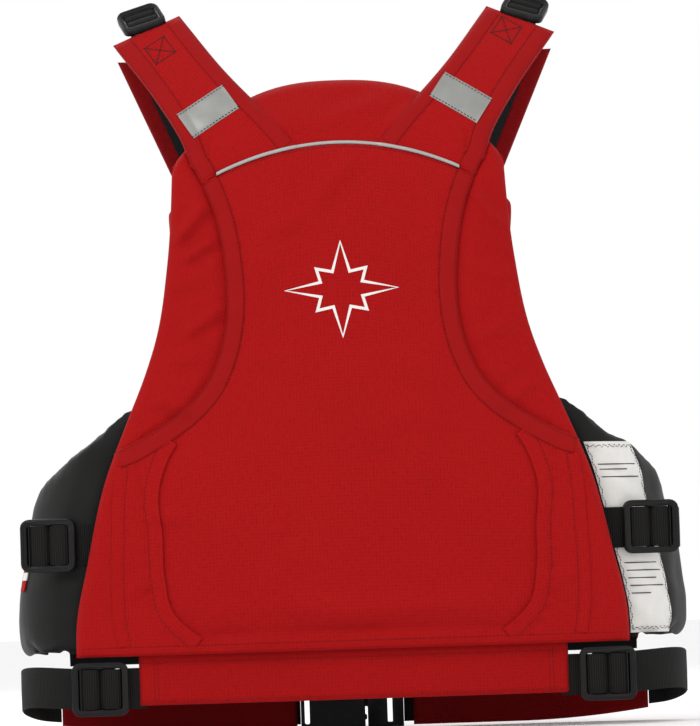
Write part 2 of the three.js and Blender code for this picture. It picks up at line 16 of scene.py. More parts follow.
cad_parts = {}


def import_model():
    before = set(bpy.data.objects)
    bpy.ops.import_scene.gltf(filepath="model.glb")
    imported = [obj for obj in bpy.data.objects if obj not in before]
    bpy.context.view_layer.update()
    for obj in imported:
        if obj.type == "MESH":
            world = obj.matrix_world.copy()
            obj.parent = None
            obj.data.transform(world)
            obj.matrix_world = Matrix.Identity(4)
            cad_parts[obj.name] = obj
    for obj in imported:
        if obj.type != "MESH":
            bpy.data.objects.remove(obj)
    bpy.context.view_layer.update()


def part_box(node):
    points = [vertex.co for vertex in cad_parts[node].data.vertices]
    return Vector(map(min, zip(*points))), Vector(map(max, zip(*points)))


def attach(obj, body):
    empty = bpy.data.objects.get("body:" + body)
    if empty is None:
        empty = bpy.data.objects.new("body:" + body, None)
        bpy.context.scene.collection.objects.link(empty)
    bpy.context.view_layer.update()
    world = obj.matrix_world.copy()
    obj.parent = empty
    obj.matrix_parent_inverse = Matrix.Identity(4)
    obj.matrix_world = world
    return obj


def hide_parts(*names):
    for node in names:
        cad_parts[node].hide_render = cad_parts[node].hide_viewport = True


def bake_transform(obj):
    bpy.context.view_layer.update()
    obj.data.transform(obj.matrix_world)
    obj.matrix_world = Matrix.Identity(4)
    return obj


LOG = logging.getLogger("life_jacket")
MM = 0.001
Array = np.ndarray
Outline = Sequence[tuple[float, float]]
Line = list[tuple[float, float]]
Piece = bpy.types.Object
Finish = bpy.types.Material
STITCH_LIFT = 0.2 * MM


class Side(Enum):
    """The wearer's left is -X."""

    LEFT = ("left", -1.0)
    RIGHT = ("right", 1.0)

    @property
    def word(self) -> str:
        """Name used in node and body names."""
        return self.value[0]

    @property
    def sign(self) -> float:
        """Direction of this side along X."""
        return self.value[1]


class Facing(Enum):
    """Which way a surface looks, and so from where cloth is laid on it."""

    BACK = -1.0
    FRONT = 1.0


# ------------------------------------------------------------------ shader maths
class Signal:
    """A shader socket that takes part in Python expressions."""

    def __init__(self, graph: Graph, socket: bpy.types.NodeSocket) -> None:
        """Wraps a socket of a graph."""
        self.graph = graph
        self.socket = socket

    def _maths(self, operation: str, *others: Signal | float) -> Signal:
        """Adds a Math node on this value and others."""
        node = self.graph.node("ShaderNodeMath", {"operation": operation}, [self, *others])
        return Signal(self.graph, node.outputs[0])

    def __add__(self, other: Signal | float) -> Signal:
        """Sum."""
        return self._maths("ADD", other)

    __radd__ = __add__

    def __mul__(self, other: Signal | float) -> Signal:
        """Product."""
        return self._maths("MULTIPLY", other)

    __rmul__ = __mul__

    def __sub__(self, other: Signal | float) -> Signal:
        """Difference."""
        return self._maths("SUBTRACT", other)

    def __rsub__(self, other: float) -> Signal:
        """Difference from a number."""
        return self._maths("MULTIPLY", -1.0) + other

    def __truediv__(self, other: Signal | float) -> Signal:
        """Quotient."""
        return self._maths("DIVIDE", other)

    def sine(self) -> Signal:
        """Sine of a value in radians."""
        return self._maths("SINE")

    def magnitude(self) -> Signal:
        """Absolute value."""
        return self._maths("ABSOLUTE")

    def fraction(self) -> Signal:
        """Part after the point."""
        return self._maths("FRACT")

    def at_least(self, other: Signal | float) -> Signal:
        """Larger of two values."""
        return self._maths("MAXIMUM", other)

    def at_most(self, other: Signal | float) -> Signal:
        """Smaller of two values."""
        return self._maths("MINIMUM", other)

    def ramp(self, low: float, high: float) -> Signal:
        """Smooth step from 0 at low to 1 at high."""
        settings = {"interpolation_type": "SMOOTHSTEP"}
        node = self.graph.node("ShaderNodeMapRange", settings, [self, low, high, 0.0, 1.0])
        return Signal(self.graph, node.outputs[0])


class Graph:
    """The node tree of one material with its main shader."""

    def __init__(self, name: str) -> None:
        """Starts a material with a Principled shader."""
        self.material = bpy.data.materials.new(name)
        self.material.use_nodes = True
        self.tree = self.material.node_tree
        self.shader = self.tree.nodes["Principled BSDF"]

    def node(self, kind: str, settings: dict | None = None,
             inputs: Iterable | dict = ()) -> bpy.types.Node:
        """Adds a node.

        Args:
            kind: Node type.
            settings: Properties that are set before the inputs.
            inputs: Values or signals, in order or by input name.

        Returns:
            The new node.
        """
        node = self.tree.nodes.new(kind)
        for key, value in (settings or {}).items():
            setattr(node, key, value)
        pairs = inputs.items() if isinstance(inputs, dict) else enumerate(inputs)
        for key, value in pairs:
            self.feed(node.inputs[key], value)
        return node

    def feed(self, socket: bpy.types.NodeSocket, value: object) -> None:
        """Links a signal to a socket, or sets its value."""
        if isinstance(value, Signal):
            self.tree.links.new(value.socket, socket)
        else:
            socket.default_value = value

    def axes(self, space: str) -> tuple[Signal, Signal, Signal]:
        """X, Y and Z of the piece's UV or Object coordinates, in metres."""
        coordinates = self.node("ShaderNodeTexCoord")
        split = self.node("ShaderNodeSeparateXYZ", None, [Signal(self, coordinates.outputs[space])])
        return tuple(Signal(self, output) for output in split.outputs)

    def place(self, x: Signal | float, y: Signal | float, z: Signal | float = 0.0) -> Signal:
        """A vector from three values."""
        return Signal(self, self.node("ShaderNodeCombineXYZ", None, [x, y, z]).outputs[0])

    def noise(self, vector: Signal, scale: float, detail: float = 2.0) -> Signal:
        """Noise value at a vector, scale in waves per metre."""
        values = {"Vector": vector, "Scale": scale, "Detail": detail}
        return Signal(self, self.node("ShaderNodeTexNoise", None, values).outputs[0])

    def blend(self, share: Signal | float, first: object, second: object) -> Signal:
        """Mix of two colours."""
        node = self.node("ShaderNodeMix", {"data_type": "RGBA"})
        self.feed(node.inputs[0], share)
        self.feed(node.inputs[6], (*first, 1.0) if isinstance(first, tuple) else first)
        self.feed(node.inputs[7], (*second, 1.0) if isinstance(second, tuple) else second)
        return Signal(self, node.outputs[2])

    def bump(self, height: Signal, depth: float, strength: float = 1.0) -> None:
        """Feeds a height to the shader's normal; depth in metres."""
        values = {"Strength": strength, "Distance": depth, "Height": height}
        node = self.node("ShaderNodeBump", None, values)
        self.tree.links.new(node.outputs[0], self.shader.inputs["Normal"])

    def finish(self, colour: object, roughness: object, **constants: float) -> Finish:
        """Sets colour, roughness and constants on the shader, and gives the material."""
        self.feed(self.shader.inputs["Base Color"], (*colour, 1.0) if isinstance(colour, tuple) else colour)
        self.feed(self.shader.inputs["Roughness"], roughness)
        for key, value in constants.items():
            self.shader.inputs[key.replace("_", " ")].default_value = value
        self.material.diffuse_color = (*colour, 1.0) if isinstance(colour, tuple) else (0.4, 0.02, 0.02, 1)
        return self.material


TURN = 2 * math.pi


@dataclass(frozen=True)
class ShellCloth:
    """Woven nylon shell with a fine thread grid."""

    name: str
    colour: tuple[float, float, float]
    thread: tuple[float, float, float]
    space: str = "UV"
    grid: float = 2.9 * MM
    grid_share: float = 0.5
    weave: float = 0.75 * MM
    sheen: float = 0.015
    roughness: float = 0.78

    def make(self) -> Finish:
        """Builds the material."""
        g = Graph(self.name)
        x, y, z = g.axes(self.space)
        u, v = (x, y) if self.space == "UV" else (x, z)
        across = g.noise(g.place(u * 0.12, v), 1500.0, 1.0).ramp(0.42, 0.62)
        along = g.noise(g.place(u, v * 0.12, 0.3), 1500.0, 1.0).ramp(0.42, 0.62)
        line_u = ((u / self.grid).fraction() - 0.5).magnitude().ramp(0.34, 0.5) * (0.45 + along * 0.55)
        line_v = ((v / self.grid).fraction() - 0.5).magnitude().ramp(0.34, 0.5) * (0.45 + across * 0.55)
        threads = line_u.at_least(line_v)
        heather = across * 0.5 + along * 0.5
        cloud = g.noise(g.place(x, y, z), 9.0, 3.0)
        shade = threads * self.grid_share + heather * 0.35 + (cloud - 0.5) * 0.3
        colour = g.blend(shade.at_least(0.0).at_most(1.0), self.colour, self.thread)
        yarn = (u * (TURN / self.weave)).sine() * (v * (TURN / self.weave)).sine()
        crumple = g.noise(g.place(x, y, z), 45.0, 4.0)
        g.bump(yarn * 0.08 + threads * 0.12 + crumple * 0.8, 0.7 * MM, 0.55)
        return g.finish(colour, self.roughness + (cloud - 0.5) * 0.1,
                        Sheen_Weight=self.sheen, Sheen_Roughness=0.45, Specular_IOR_Level=0.06)


@dataclass(frozen=True)
class PlainCloth:
    """Smooth coated nylon, as on the bindings and the side panels."""

    name: str
    colour: tuple[float, float, float]
    shade: tuple[float, float, float]
    space: str = "UV"
    roughness: float = 0.7
    crumple: float = 1.2 * MM
    gloss: float = 0.07

    def make(self) -> Finish:
        """Builds the material."""
        g = Graph(self.name)
        x, y, z = g.axes(self.space)
        u, v = (x, y) if self.space == "UV" else (x, z)
        weave = (u * (TURN / (0.55 * MM))).sine() * (v * (TURN / (0.55 * MM))).sine()
        cloud = g.noise(g.place(x, y, z), 25.0, 4.0)
        fine = g.noise(g.place(x, y, z), 700.0, 2.0)
        colour = g.blend((cloud * 0.8 + fine * 0.3 - 0.1).at_least(0.0).at_most(1.0), self.colour, self.shade)
        g.bump(cloud + weave * 0.03, self.crumple, 0.5)
        return g.finish(colour, self.roughness + (fine - 0.5) * 0.15,
                        Specular_IOR_Level=self.gloss)


@dataclass(frozen=True)
class RibbedWebbing:
    """Woven webbing: cross ribs, two rows of chevron and firm edges."""

    name: str = "black_webbing"
    colour: tuple[float, float, float] = (0.005, 0.0048, 0.0045)
    # rise: the lighter colour of the rib crests, a painted highlight.
    rise: tuple[float, float, float] = (0.020, 0.019, 0.018)
    rib: float = 1.7 * MM

    def make(self) -> Finish:
        """Builds the material; U runs along the webbing and V across it, both in metres."""
        g = Graph(self.name)
        u, v, _ = g.axes("UV")
        slant = (v * (TURN / (8.0 * MM))).sine() * 0.35
        rib = (u * (TURN / self.rib) + slant).sine() * 0.5 + 0.5
        yarn = (v * (TURN / (1.1 * MM))).sine() * 0.5 + 0.5
        fuzz = g.noise(g.place(u, v), 1600.0, 2.0)
        height = rib * 0.75 + yarn * 0.25
        # Colour follows the rib height: painted highlight on the crests and painted shade between the ribs, with
        # random fuzz tone on top.
        colour = g.blend((height * 0.6 + (fuzz - 0.5) * 0.8).at_least(0.0).at_most(1.0), self.colour,
                         self.rise)
        g.bump(height + fuzz * 0.3, 0.45 * MM, 0.9)
        return g.finish(colour, 0.72 - rib * 0.1, Specular_IOR_Level=0.1)


@dataclass(frozen=True)
class MouldedPlastic:
    """Black acetal with a fine spark-eroded skin and soft wear in random patches."""

    name: str = "black_plastic"
    colour: tuple[float, float, float] = (0.006, 0.006, 0.0065)
    worn: tuple[float, float, float] = (0.018, 0.018, 0.019)

    def make(self) -> Finish:
        """Builds the material."""
        g = Graph(self.name)
        x, y, z = g.axes("Object")
        at = g.place(x, y, z)
        grain = g.noise(at, 2600.0, 2.0)
        scuff = g.noise(at, 160.0, 5.0).ramp(0.52, 0.75)
        colour = g.blend(scuff * 0.6, self.colour, self.worn)
        g.bump(grain, 0.08 * MM, 0.6)
        return g.finish(colour, 0.34 + scuff * 0.2 + grain * 0.06, Specular_IOR_Level=0.2)


@dataclass(frozen=True)
class GlassBeadTape:
    """Silver reflective fabric with a faint knurl."""

    name: str
    colour: tuple[float, float, float] = (0.33, 0.33, 0.31)
    shade: tuple[float, float, float] = (0.20, 0.20, 0.19)

    def make(self) -> Finish:
        """Builds the material."""
        g = Graph(self.name)
        x, y, z = g.axes("Object")
        at = g.place(x, y, z)
        beads = g.noise(at, 3000.0, 1.0)
        cloud = g.noise(at, 60.0, 3.0)
        colour = g.blend((cloud * 0.7 + beads * 0.5 - 0.1).at_least(0.0).at_most(1.0), self.colour,
                         self.shade)
        g.bump(beads * 0.4 + cloud, 0.35 * MM, 0.5)
        return g.finish(colour, 0.42 + cloud * 0.15, Metallic=0.35)


@dataclass(frozen=True)
class SpacerMesh:
    """Open black mesh lining with staggered round holes, painted near-black as painted shade inside the holes."""

    name: str = "mesh_lining"
    colour: tuple[float, float, float] = (0.022, 0.022, 0.023)
    # The near-black colour of the holes: painted shade.
    hole: tuple[float, float, float] = (0.003, 0.003, 0.003)
    pitch: float = 3.2 * MM

    def make(self) -> Finish:
        """Builds the material."""
        g = Graph(self.name)
        x, _, z = g.axes("Object")
        waves = (x * (TURN / self.pitch)).sine() * (z * (TURN / (1.73 * self.pitch))).sine()
        shifted = (x * (TURN / self.pitch) + 1.57).sine() * (z * (TURN / (1.73 * self.pitch)) + 1.57).sine()
        holes = waves.magnitude().at_least(shifted.magnitude()).ramp(0.72, 0.86)
        fuzz = g.noise(g.place(x, z), 900.0, 2.0)
        # The holes take the near-black colour: painted shade where they open into the pad.
        colour = g.blend(holes * 0.9 + fuzz * 0.1, self.colour, self.hole)
        g.bump((1 - holes) + fuzz * 0.2, 0.8 * MM, 0.9)
        return g.finish(colour, 0.8 + fuzz * 0.1, Specular_IOR_Level=0.08)


@dataclass(frozen=True)
class Thread:
    """Sewing thread."""

    name: str
    colour: tuple[float, float, float]

    def make(self) -> Finish:
        """Builds the material."""
        g = Graph(self.name)
        x, y, z = g.axes("Object")
        twist = g.noise(g.place(x, y, z), 2500.0, 1.0)
        light = tuple(min(1.0, 1.7 * c + 0.01) for c in self.colour)
        return g.finish(g.blend(twist, self.colour, light), 0.6 + twist * 0.15, Specular_IOR_Level=0.1)


@dataclass(frozen=True)
class PrintedWhite:
    """White print or label cloth with slight unevenness."""

    name: str
    colour: tuple[float, float, float] = (0.80, 0.79, 0.76)
    shade: tuple[float, float, float] = (0.62, 0.60, 0.57)

    def make(self) -> Finish:
        """Builds the material."""
        g = Graph(self.name)
        x, y, z = g.axes("Object")
        at = g.place(x, y, z)
        cloud = g.noise(at, 140.0, 4.0)
        grain = g.noise(at, 1400.0, 1.0)
        g.bump(grain + cloud * 0.5, 0.15 * MM, 0.5)
        colour = g.blend((cloud * 0.7 + grain * 0.2).at_most(1.0), self.colour, self.shade)
        return g.finish(colour, 0.6 + grain * 0.15, Sheen_Weight=0.05)


class Finishes:
    """Every material of the jacket, made once."""

    def __init__(self) -> None:
        """Builds the materials."""
        red, deep = (0.352, 0.0056, 0.0061), (0.218, 0.0032, 0.0036)
        self.red = ShellCloth("red_shell", red, deep).make()
        self.red_pad = ShellCloth("red_shell_pad", red, deep, space="Object").make()
        # A darker copy of the red shell for the front straps and belt sleeves: painted shade where the same red
        # cloth lies in shadow.
        self.dark_red = ShellCloth("dark_red_shell", (0.22, 0.0045, 0.006), (0.13, 0.0025, 0.0035)).make()
        self.binding = PlainCloth("red_binding", (0.315, 0.0052, 0.0057), (0.240, 0.0040, 0.0045)).make()
        self.black = PlainCloth("black_side_cloth", (0.0055, 0.0052, 0.0048), (0.010, 0.0095, 0.009),
                                space="Object", roughness=0.5, crumple=1.3 * MM, gloss=0.13).make()
        self.tape = PlainCloth("black_zip_tape", (0.014, 0.013, 0.012), (0.028, 0.027, 0.026),
                               space="Object", roughness=0.75).make()
        self.webbing = RibbedWebbing().make()
        self.plastic = MouldedPlastic().make()
        self.silver = GlassBeadTape("reflective_tape").make()
        self.piping = GlassBeadTape("reflective_piping", (0.42, 0.42, 0.40), (0.31, 0.31, 0.30)).make()
        self.mesh = SpacerMesh().make()
        self.red_thread = Thread("red_thread", (0.13, 0.003, 0.004)).make()
        self.black_thread = Thread("black_thread", (0.012, 0.011, 0.011)).make()
        self.white = PrintedWhite("white_print").make()
        self.label = PrintedWhite("label_cloth", (0.74, 0.73, 0.70), (0.60, 0.59, 0.56)).make()


# ------------------------------------------------------------------ mesh helpers
def smooth_curve(stations: Outline) -> Callable[[Array], Array]:
    """Smooth function through (station, value) pairs, flat beyond its ends."""
    xs, ys = (np.array(column, float) for column in zip(*stations))
    slopes = np.gradient(ys, xs)

    def value(at: Array) -> Array:
        """Value at one or more stations."""
        at = np.clip(at, xs[0], xs[-1])
        i = np.clip(np.searchsorted(xs, at, side="right") - 1, 0, len(xs) - 2)
        step = xs[i + 1] - xs[i]
        t = (at - xs[i]) / step
        near = (1 + 2 * t) * (1 - t) ** 2 * ys[i] + t * (1 - t) ** 2 * step * slopes[i]
        far = t * t * (3 - 2 * t) * ys[i + 1] + t * t * (t - 1) * step * slopes[i + 1]
        return near + far

    return value


def grid(x: Array, y: Array, z: Array) -> Array:
    """Points from three grids of values."""
    return np.stack([x, y, z], axis=2)


def crown(across: Array, along: Array) -> Array:
    """Share of a pad's full thickness, from distances to its rims in units of their rounding."""
    a, b = np.clip(1 - across, 0, 1), np.clip(1 - along, 0, 1)
    return np.sqrt(np.clip(1 - a * a - b * b, 0, 1))


def headings(path: Array) -> Array:
    """Unit directions along a path."""
    along = np.gradient(path, axis=0)
    return along / np.linalg.norm(along, axis=1)[:, None]


def tube_faces(count: int, ring: int) -> list[list[int]]:
    """Faces of a closed tube of count rings of points."""
    sides = [[i * ring + j, i * ring + (j + 1) % ring, (i + 1) * ring + (j + 1) % ring, (i + 1) * ring + j]
             for i in range(count - 1) for j in range(ring)]
    return sides + [list(range(ring))[::-1], list(range((count - 1) * ring, count * ring))]


def in_scene(name: str, data: bpy.types.ID) -> Piece:
    """An object of some data, put in the scene."""
    obj = bpy.data.objects.new(name, data)
    bpy.context.scene.collection.objects.link(obj)
    return obj


def final_mesh(obj: Piece) -> bpy.types.Mesh:
    """A plain mesh of an object with its modifiers applied."""
    return bpy.data.meshes.new_from_object(obj.evaluated_get(bpy.context.evaluated_depsgraph_get()))


def roll(distance: Array, radius: float) -> Array:
    """How far a rounded edge has dropped at a distance from its rim."""
    share = np.clip(1 - np.maximum(distance, 0) / radius, 0, 1)
    return radius * (1 - np.sqrt(1 - share**2 + 1e-9))


def soft_noise(x: Array, z: Array, wave: float, seed: int) -> Array:
    """Smooth noise of about -1 to 1 from a few turned waves; wave is the main length in metres."""
    random = np.random.default_rng(seed)
    total = np.zeros(np.broadcast(x, z).shape)
    for _ in range(7):
        angle, phase = random.uniform(0, TURN, 2)
        pace = TURN / (wave * random.uniform(0.6, 1.6))
        total += np.sin(pace * (x * math.cos(angle) + z * math.sin(angle)) + phase)
    return total / 4


def line_distance(x: Array, z: Array, path: Outline) -> Array:
    """Distance of points to an open polyline in the XZ plane."""
    nearest = np.full(np.broadcast(x, z).shape, 1.0)
    for (x0, z0), (x1, z1) in zip(path[:-1], path[1:]):
        dx, dz = x1 - x0, z1 - z0
        t = np.clip(((x - x0) * dx + (z - z0) * dz) / (dx * dx + dz * dz), 0, 1)
        nearest = np.minimum(nearest, np.hypot(x - x0 - t * dx, z - z0 - t * dz))
    return nearest


def rounded(path: Outline, step: float = 3 * MM) -> Line:
    """A smooth, evenly stepped polyline through 2-D points."""
    points = np.array(path, float)
    reach = np.concatenate([[0], np.cumsum(np.hypot(*np.diff(points, axis=0).T))])
    count = max(2, int(reach[-1] / step))
    at = np.linspace(0, reach[-1], count + 1)
    xs = smooth_curve(list(zip(reach, points[:, 0])))(at)
    ys = smooth_curve(list(zip(reach, points[:, 1])))(at)
    return list(zip(xs.tolist(), ys.tolist()))


def mirrored(path: Outline, sign: float) -> Line:
    """A path given for the right side, on the side of a sign."""
    return [(sign * x, z) for x, z in path]


def build(name: str, points: Array, faces: list, material: Finish,
          uv: Array | None = None, crease: float | None = None) -> Piece:
    """Makes a mesh object whose faces point outwards.

    Args:
        name: Object name.
        points: N x 3 places in metres.
        faces: Lists of point numbers.
        material: Its finish.
        uv: N x 2 texture places in metres.
        crease: Angle in degrees past which an edge stays sharp; None is smooth all over.

    Returns:
        The object, in the scene.
    """
    mesh = bpy.data.meshes.new(name)
    mesh.from_pydata(points.tolist(), [], faces)
    if uv is not None:
        layer = mesh.uv_layers.new(name="UVMap")
        corners = np.empty(len(mesh.loops), np.int32)
        mesh.loops.foreach_get("vertex_index", corners)
        layer.data.foreach_set("uv", np.ascontiguousarray(uv[corners], np.float32).ravel())
    work = bmesh.new()
    work.from_mesh(mesh)
    bmesh.ops.remove_doubles(work, verts=work.verts, dist=1e-6)
    if work.calc_volume(signed=True) < 0:
        bmesh.ops.reverse_faces(work, faces=work.faces)
    work.to_mesh(mesh)
    work.free()
    mesh.shade_smooth()
    if crease is not None:
        mesh.set_sharp_from_angle(angle=math.radians(crease))
    mesh.materials.append(material)
    obj = in_scene(name, mesh)
    return obj


def arc_lengths(points: Array) -> Array:
    """UV of a grid of points, in metres along its middle column and row."""
    rows, columns = points.shape[:2]
    along = np.linalg.norm(np.diff(points, axis=0), axis=2).mean(axis=1)
    v = np.concatenate([[0], np.cumsum(along)])
    across = np.linalg.norm(np.diff(points, axis=1), axis=2)
    u = np.concatenate([np.zeros((rows, 1)), np.cumsum(across, axis=1)], axis=1)
    u = u - u[:, columns // 2][:, None]
    return np.stack([u, np.broadcast_to(v[:, None], u.shape)], axis=2)


def grid_solid(name: str, outer: Array, inner: Array, material: Finish,
               crease: float | None = None) -> Piece:
    """Closed solid between two grids of points of rows x columns x 3."""
    rows, columns = outer.shape[:2]
    back = rows * columns
    k = np.arange(back).reshape(rows, columns)
    a, b, c, d = k[:-1, :-1], k[:-1, 1:], k[1:, 1:], k[1:, :-1]
    front_faces = np.stack([a, b, c, d], axis=2).reshape(-1, 4)
    back_faces = np.stack([a, d, c, b], axis=2).reshape(-1, 4) + back
    rim = np.concatenate([k[0, :-1], k[:-1, -1], k[-1, :0:-1], k[:0:-1, 0]])
    after = np.roll(rim, -1)
    rim_faces = np.stack([rim, rim + back, after + back, after], axis=1)
    points = np.concatenate([outer.reshape(-1, 3), inner.reshape(-1, 3)])
    uv = np.concatenate([arc_lengths(outer).reshape(-1, 2)] * 2)
    faces = np.concatenate([front_faces, back_faces, rim_faces]).tolist()
    return build(name, points, faces, material, uv, crease)


def spread(count: int, rim: float = 0.55) -> Array:
    """Steps from 0 to 1 that crowd towards both ends."""
    t = np.linspace(0, 1, count + 1)
    return (1 - rim) * t + rim * (1 - np.cos(math.pi * t)) / 2


def ribbon(name: str, path: Array, out: Array, width: float, thick: float,
           material: Finish, across: Array | None = None) -> Piece:
    """Webbing along a path.

    Args:
        name: Object name.
        path: N x 3 points on its inner face's middle line.
        out: N x 3 unit directions away from what it lies on.
        width: Webbing width.
        thick: Webbing thickness.
        material: Its finish.
        across: N x 3 unit directions across it, worked out where they aren't given.

    Returns:
        The webbing.
    """
    along = headings(path)
    if across is None:
        across = np.cross(out, along)
        across /= np.linalg.norm(across, axis=1)[:, None]
    half, edge = width / 2, thick * 0.45
    section = [(-half, 0.3), (-half + edge, 0.0), (half - edge, 0.0), (half, 0.3), (half, 0.7),
               (half - edge, 1.0), (half / 2, 1.06), (0, 1.08), (-half / 2, 1.06), (-half + edge, 1.0),
               (-half, 0.7)]
    reach = np.concatenate([[0], np.cumsum(np.linalg.norm(np.diff(path, axis=0), axis=1))])
    points, uv = [], []
    for place, side, up, length in zip(path, across, out, reach):
        for offset, height in section:
            points.append(place + side * offset + up * height * thick)
            uv.append((length, offset))
    return build(name, np.array(points), tube_faces(len(path), len(section)), material, np.array(uv), 50)


class Drape:
    """Finds where things lie on finished pieces, looked at along Y."""

    def __init__(self, facing: Facing, *pieces: Piece) -> None:
        """Gathers the surfaces of the pieces."""
        self.facing = facing
        points, faces = [], []
        for piece in pieces:
            start = len(points)
            points += [tuple(vertex.co) for vertex in piece.data.vertices]
            faces += [[start + k for k in face.vertices] for face in piece.data.polygons]
        self.tree = BVHTree.FromPolygons(points, faces)

    def depth(self, x: float, z: float) -> float:
        """y of the outermost surface at a place, or nan beside it."""
        start = Vector((x, 0.3 * self.facing.value, z))
        hit = self.tree.ray_cast(start, Vector((0, -self.facing.value, 0)), 0.5)[0]
        return hit.y if hit is not None else math.nan

    def depths(self, places: Array) -> Array:
        """y at N x 2 places; a place beside the surface takes its nearest neighbour's."""
        found = np.array([self.depth(float(x), float(z)) for x, z in places])
        known = np.flatnonzero(~np.isnan(found))
        if len(known) == 0:
            return found
        nearest = known[np.abs(np.arange(len(found))[:, None] - known[None, :]).argmin(axis=1)]
        return found[nearest]

    def lay(self, path: Outline, lift: float = STITCH_LIFT) -> Array:
        """Points of a path on the surface, lifted off it."""
        places = np.array(path, float)
        y = self.depths(places) + lift * self.facing.value
        return np.stack([places[:, 0], y, places[:, 1]], axis=1)

    def strip(self, name: str, path: Outline, width: float, rise: float, material: Finish,
              ripple: float = 0.0, fold: int = 0) -> Piece:
        """A flat band of cloth sewn along a path.

        Args:
            name: Object name.
            path: Its middle line.
            width: Its width.
            rise: How far it stands off.
            material: Its finish.
            ripple: Height of the soft waves of a band that is a little long for its place.
            fold: -1 or 1 for a pleat that stands up on one edge only, 0 for a flat band.

        Returns:
            The band.
        """
        line = np.array(path, float)
        along = headings(line)
        normal = np.stack([-along[:, 1], along[:, 0]], axis=1)
        shares = np.array([-1, -0.97, -0.85, -0.5, 0, 0.5, 0.85, 0.97, 1])
        heights = np.array([-0.3, 0.55, 0.92, 1, 1, 1, 0.92, 0.55, -0.3]) * rise
        if fold:
            heights = np.array([-0.3, 0.02, 0.06, 0.25, 0.5, 0.75, 0.95, 1, 0.55])[::fold] * rise
        reach = np.linspace(0, 1, len(line))[:, None]
        wave = ripple * np.sin(math.pi * reach) ** 2 * (0.5 + 0.5 * np.sin(reach * 9 + shares[None, :] * 2.4))
        heights = heights[None, :] + wave * (1 - np.abs(shares[None, :]) ** 6)
        places = line[:, None] + normal[:, None] * (shares * width / 2)[None, :, None]
        y = np.stack([self.depths(row) for row in places]) + heights * self.facing.value
        outer = np.stack([places[:, :, 0], y, places[:, :, 1]], axis=2)
        inner = outer.copy()
        inner[:, :, 1] -= (heights + 0.5 * MM) * self.facing.value
        return grid_solid(name, outer, inner, material, 60)


class StitchTree:
    """Geometry Nodes that sew thread along the edges of a mesh."""

    def __init__(self) -> None:
        """Builds the node tree once."""
        tree = bpy.data.node_groups.new("sewn_run", "GeometryNodeTree")
        make = tree.interface.new_socket
        make("Geometry", in_out="INPUT", socket_type="NodeSocketGeometry")
        self.keys = {}
        for label, kind in (("Pitch", "Float"), ("Length", "Float"), ("Radius", "Float"),
                            ("Finish", "Material")):
            self.keys[label] = make(label, in_out="INPUT", socket_type=f"NodeSocket{kind}").identifier
        make("Geometry", in_out="OUTPUT", socket_type="NodeSocketGeometry")
        add, link = tree.nodes.new, tree.links.new
        start, end = add("NodeGroupInput"), add("NodeGroupOutput")
        curve, even = add("GeometryNodeMeshToCurve"), add("GeometryNodeResampleCurve")
        even.mode = "LENGTH"
        link(start.outputs["Geometry"], curve.inputs[0])
        link(curve.outputs[0], even.inputs["Curve"])
        link(start.outputs["Pitch"], even.inputs["Length"])
        bead = add("GeometryNodeMeshUVSphere")
        bead.inputs["Segments"].default_value = 6
        bead.inputs["Rings"].default_value = 4
        bead.inputs["Radius"].default_value = 1.0
        size = add("ShaderNodeCombineXYZ")
        link(start.outputs["Length"], size.inputs[0])
        link(start.outputs["Radius"], size.inputs[1])
        link(start.outputs["Radius"], size.inputs[2])
        shape = add("GeometryNodeTransform")
        link(bead.outputs[0], shape.inputs["Geometry"])
        link(size.outputs[0], shape.inputs["Scale"])
        tangent, turn = add("GeometryNodeInputTangent"), add("FunctionNodeAlignRotationToVector")
        turn.axis = "X"
        link(tangent.outputs[0], turn.inputs["Vector"])
        place = add("GeometryNodeInstanceOnPoints")
        link(even.outputs[0], place.inputs["Points"])
        link(shape.outputs[0], place.inputs["Instance"])
        link(turn.outputs[0], place.inputs["Rotation"])
        real, dress = add("GeometryNodeRealizeInstances"), add("GeometryNodeSetMaterial")
        link(place.outputs[0], real.inputs[0])
        link(real.outputs[0], dress.inputs["Geometry"])
        link(start.outputs["Finish"], dress.inputs["Material"])
        link(dress.outputs[0], end.inputs[0])
        self.tree = tree

    def sew(self, name: str, runs: Sequence[Array], material: Finish,
            pitch: float = 3.2 * MM, length: float = 2.4 * MM, radius: float = 0.34 * MM) -> Piece:
        """Sews stitches along runs of points.

        Args:
            name: Object name.
            runs: Lists of N x 3 points.
            material: Thread finish.
            pitch: Distance from stitch to stitch.
            length: Length of a stitch.
            radius: Half its thickness.

        Returns:
            One plain mesh of all the stitches.
        """
        points, edges = [], []
        for run in runs:
            start = len(points)
            points += [tuple(p) for p in run]
            edges += [(k, k + 1) for k in range(start, len(points) - 1)]
        mesh = bpy.data.meshes.new(name + "_line")
        mesh.from_pydata(points, edges, [])
        line = in_scene(name + "_line", mesh)
        modifier = line.modifiers.new("sewn", "NODES")
        modifier.node_group = self.tree
        for label, value in (("Pitch", pitch), ("Length", length / 2), ("Radius", radius), ("Finish",
                                                                                            material)):
            modifier[self.keys[label]] = value
        final = final_mesh(line)
        final.name = name
        bpy.data.objects.remove(line)
        final.shade_smooth()
        obj = in_scene(name, final)
        return obj


def settle(piece: Piece, body: str, slot: str, *nodes: str) -> Piece:
    """Puts a piece on its body and hides the frame nodes it stands for."""
    if nodes:
        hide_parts(*nodes)
    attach(piece, body)
    LOG.info("%s: %d faces on %s", piece.name, len(piece.data.polygons), body)
    return piece


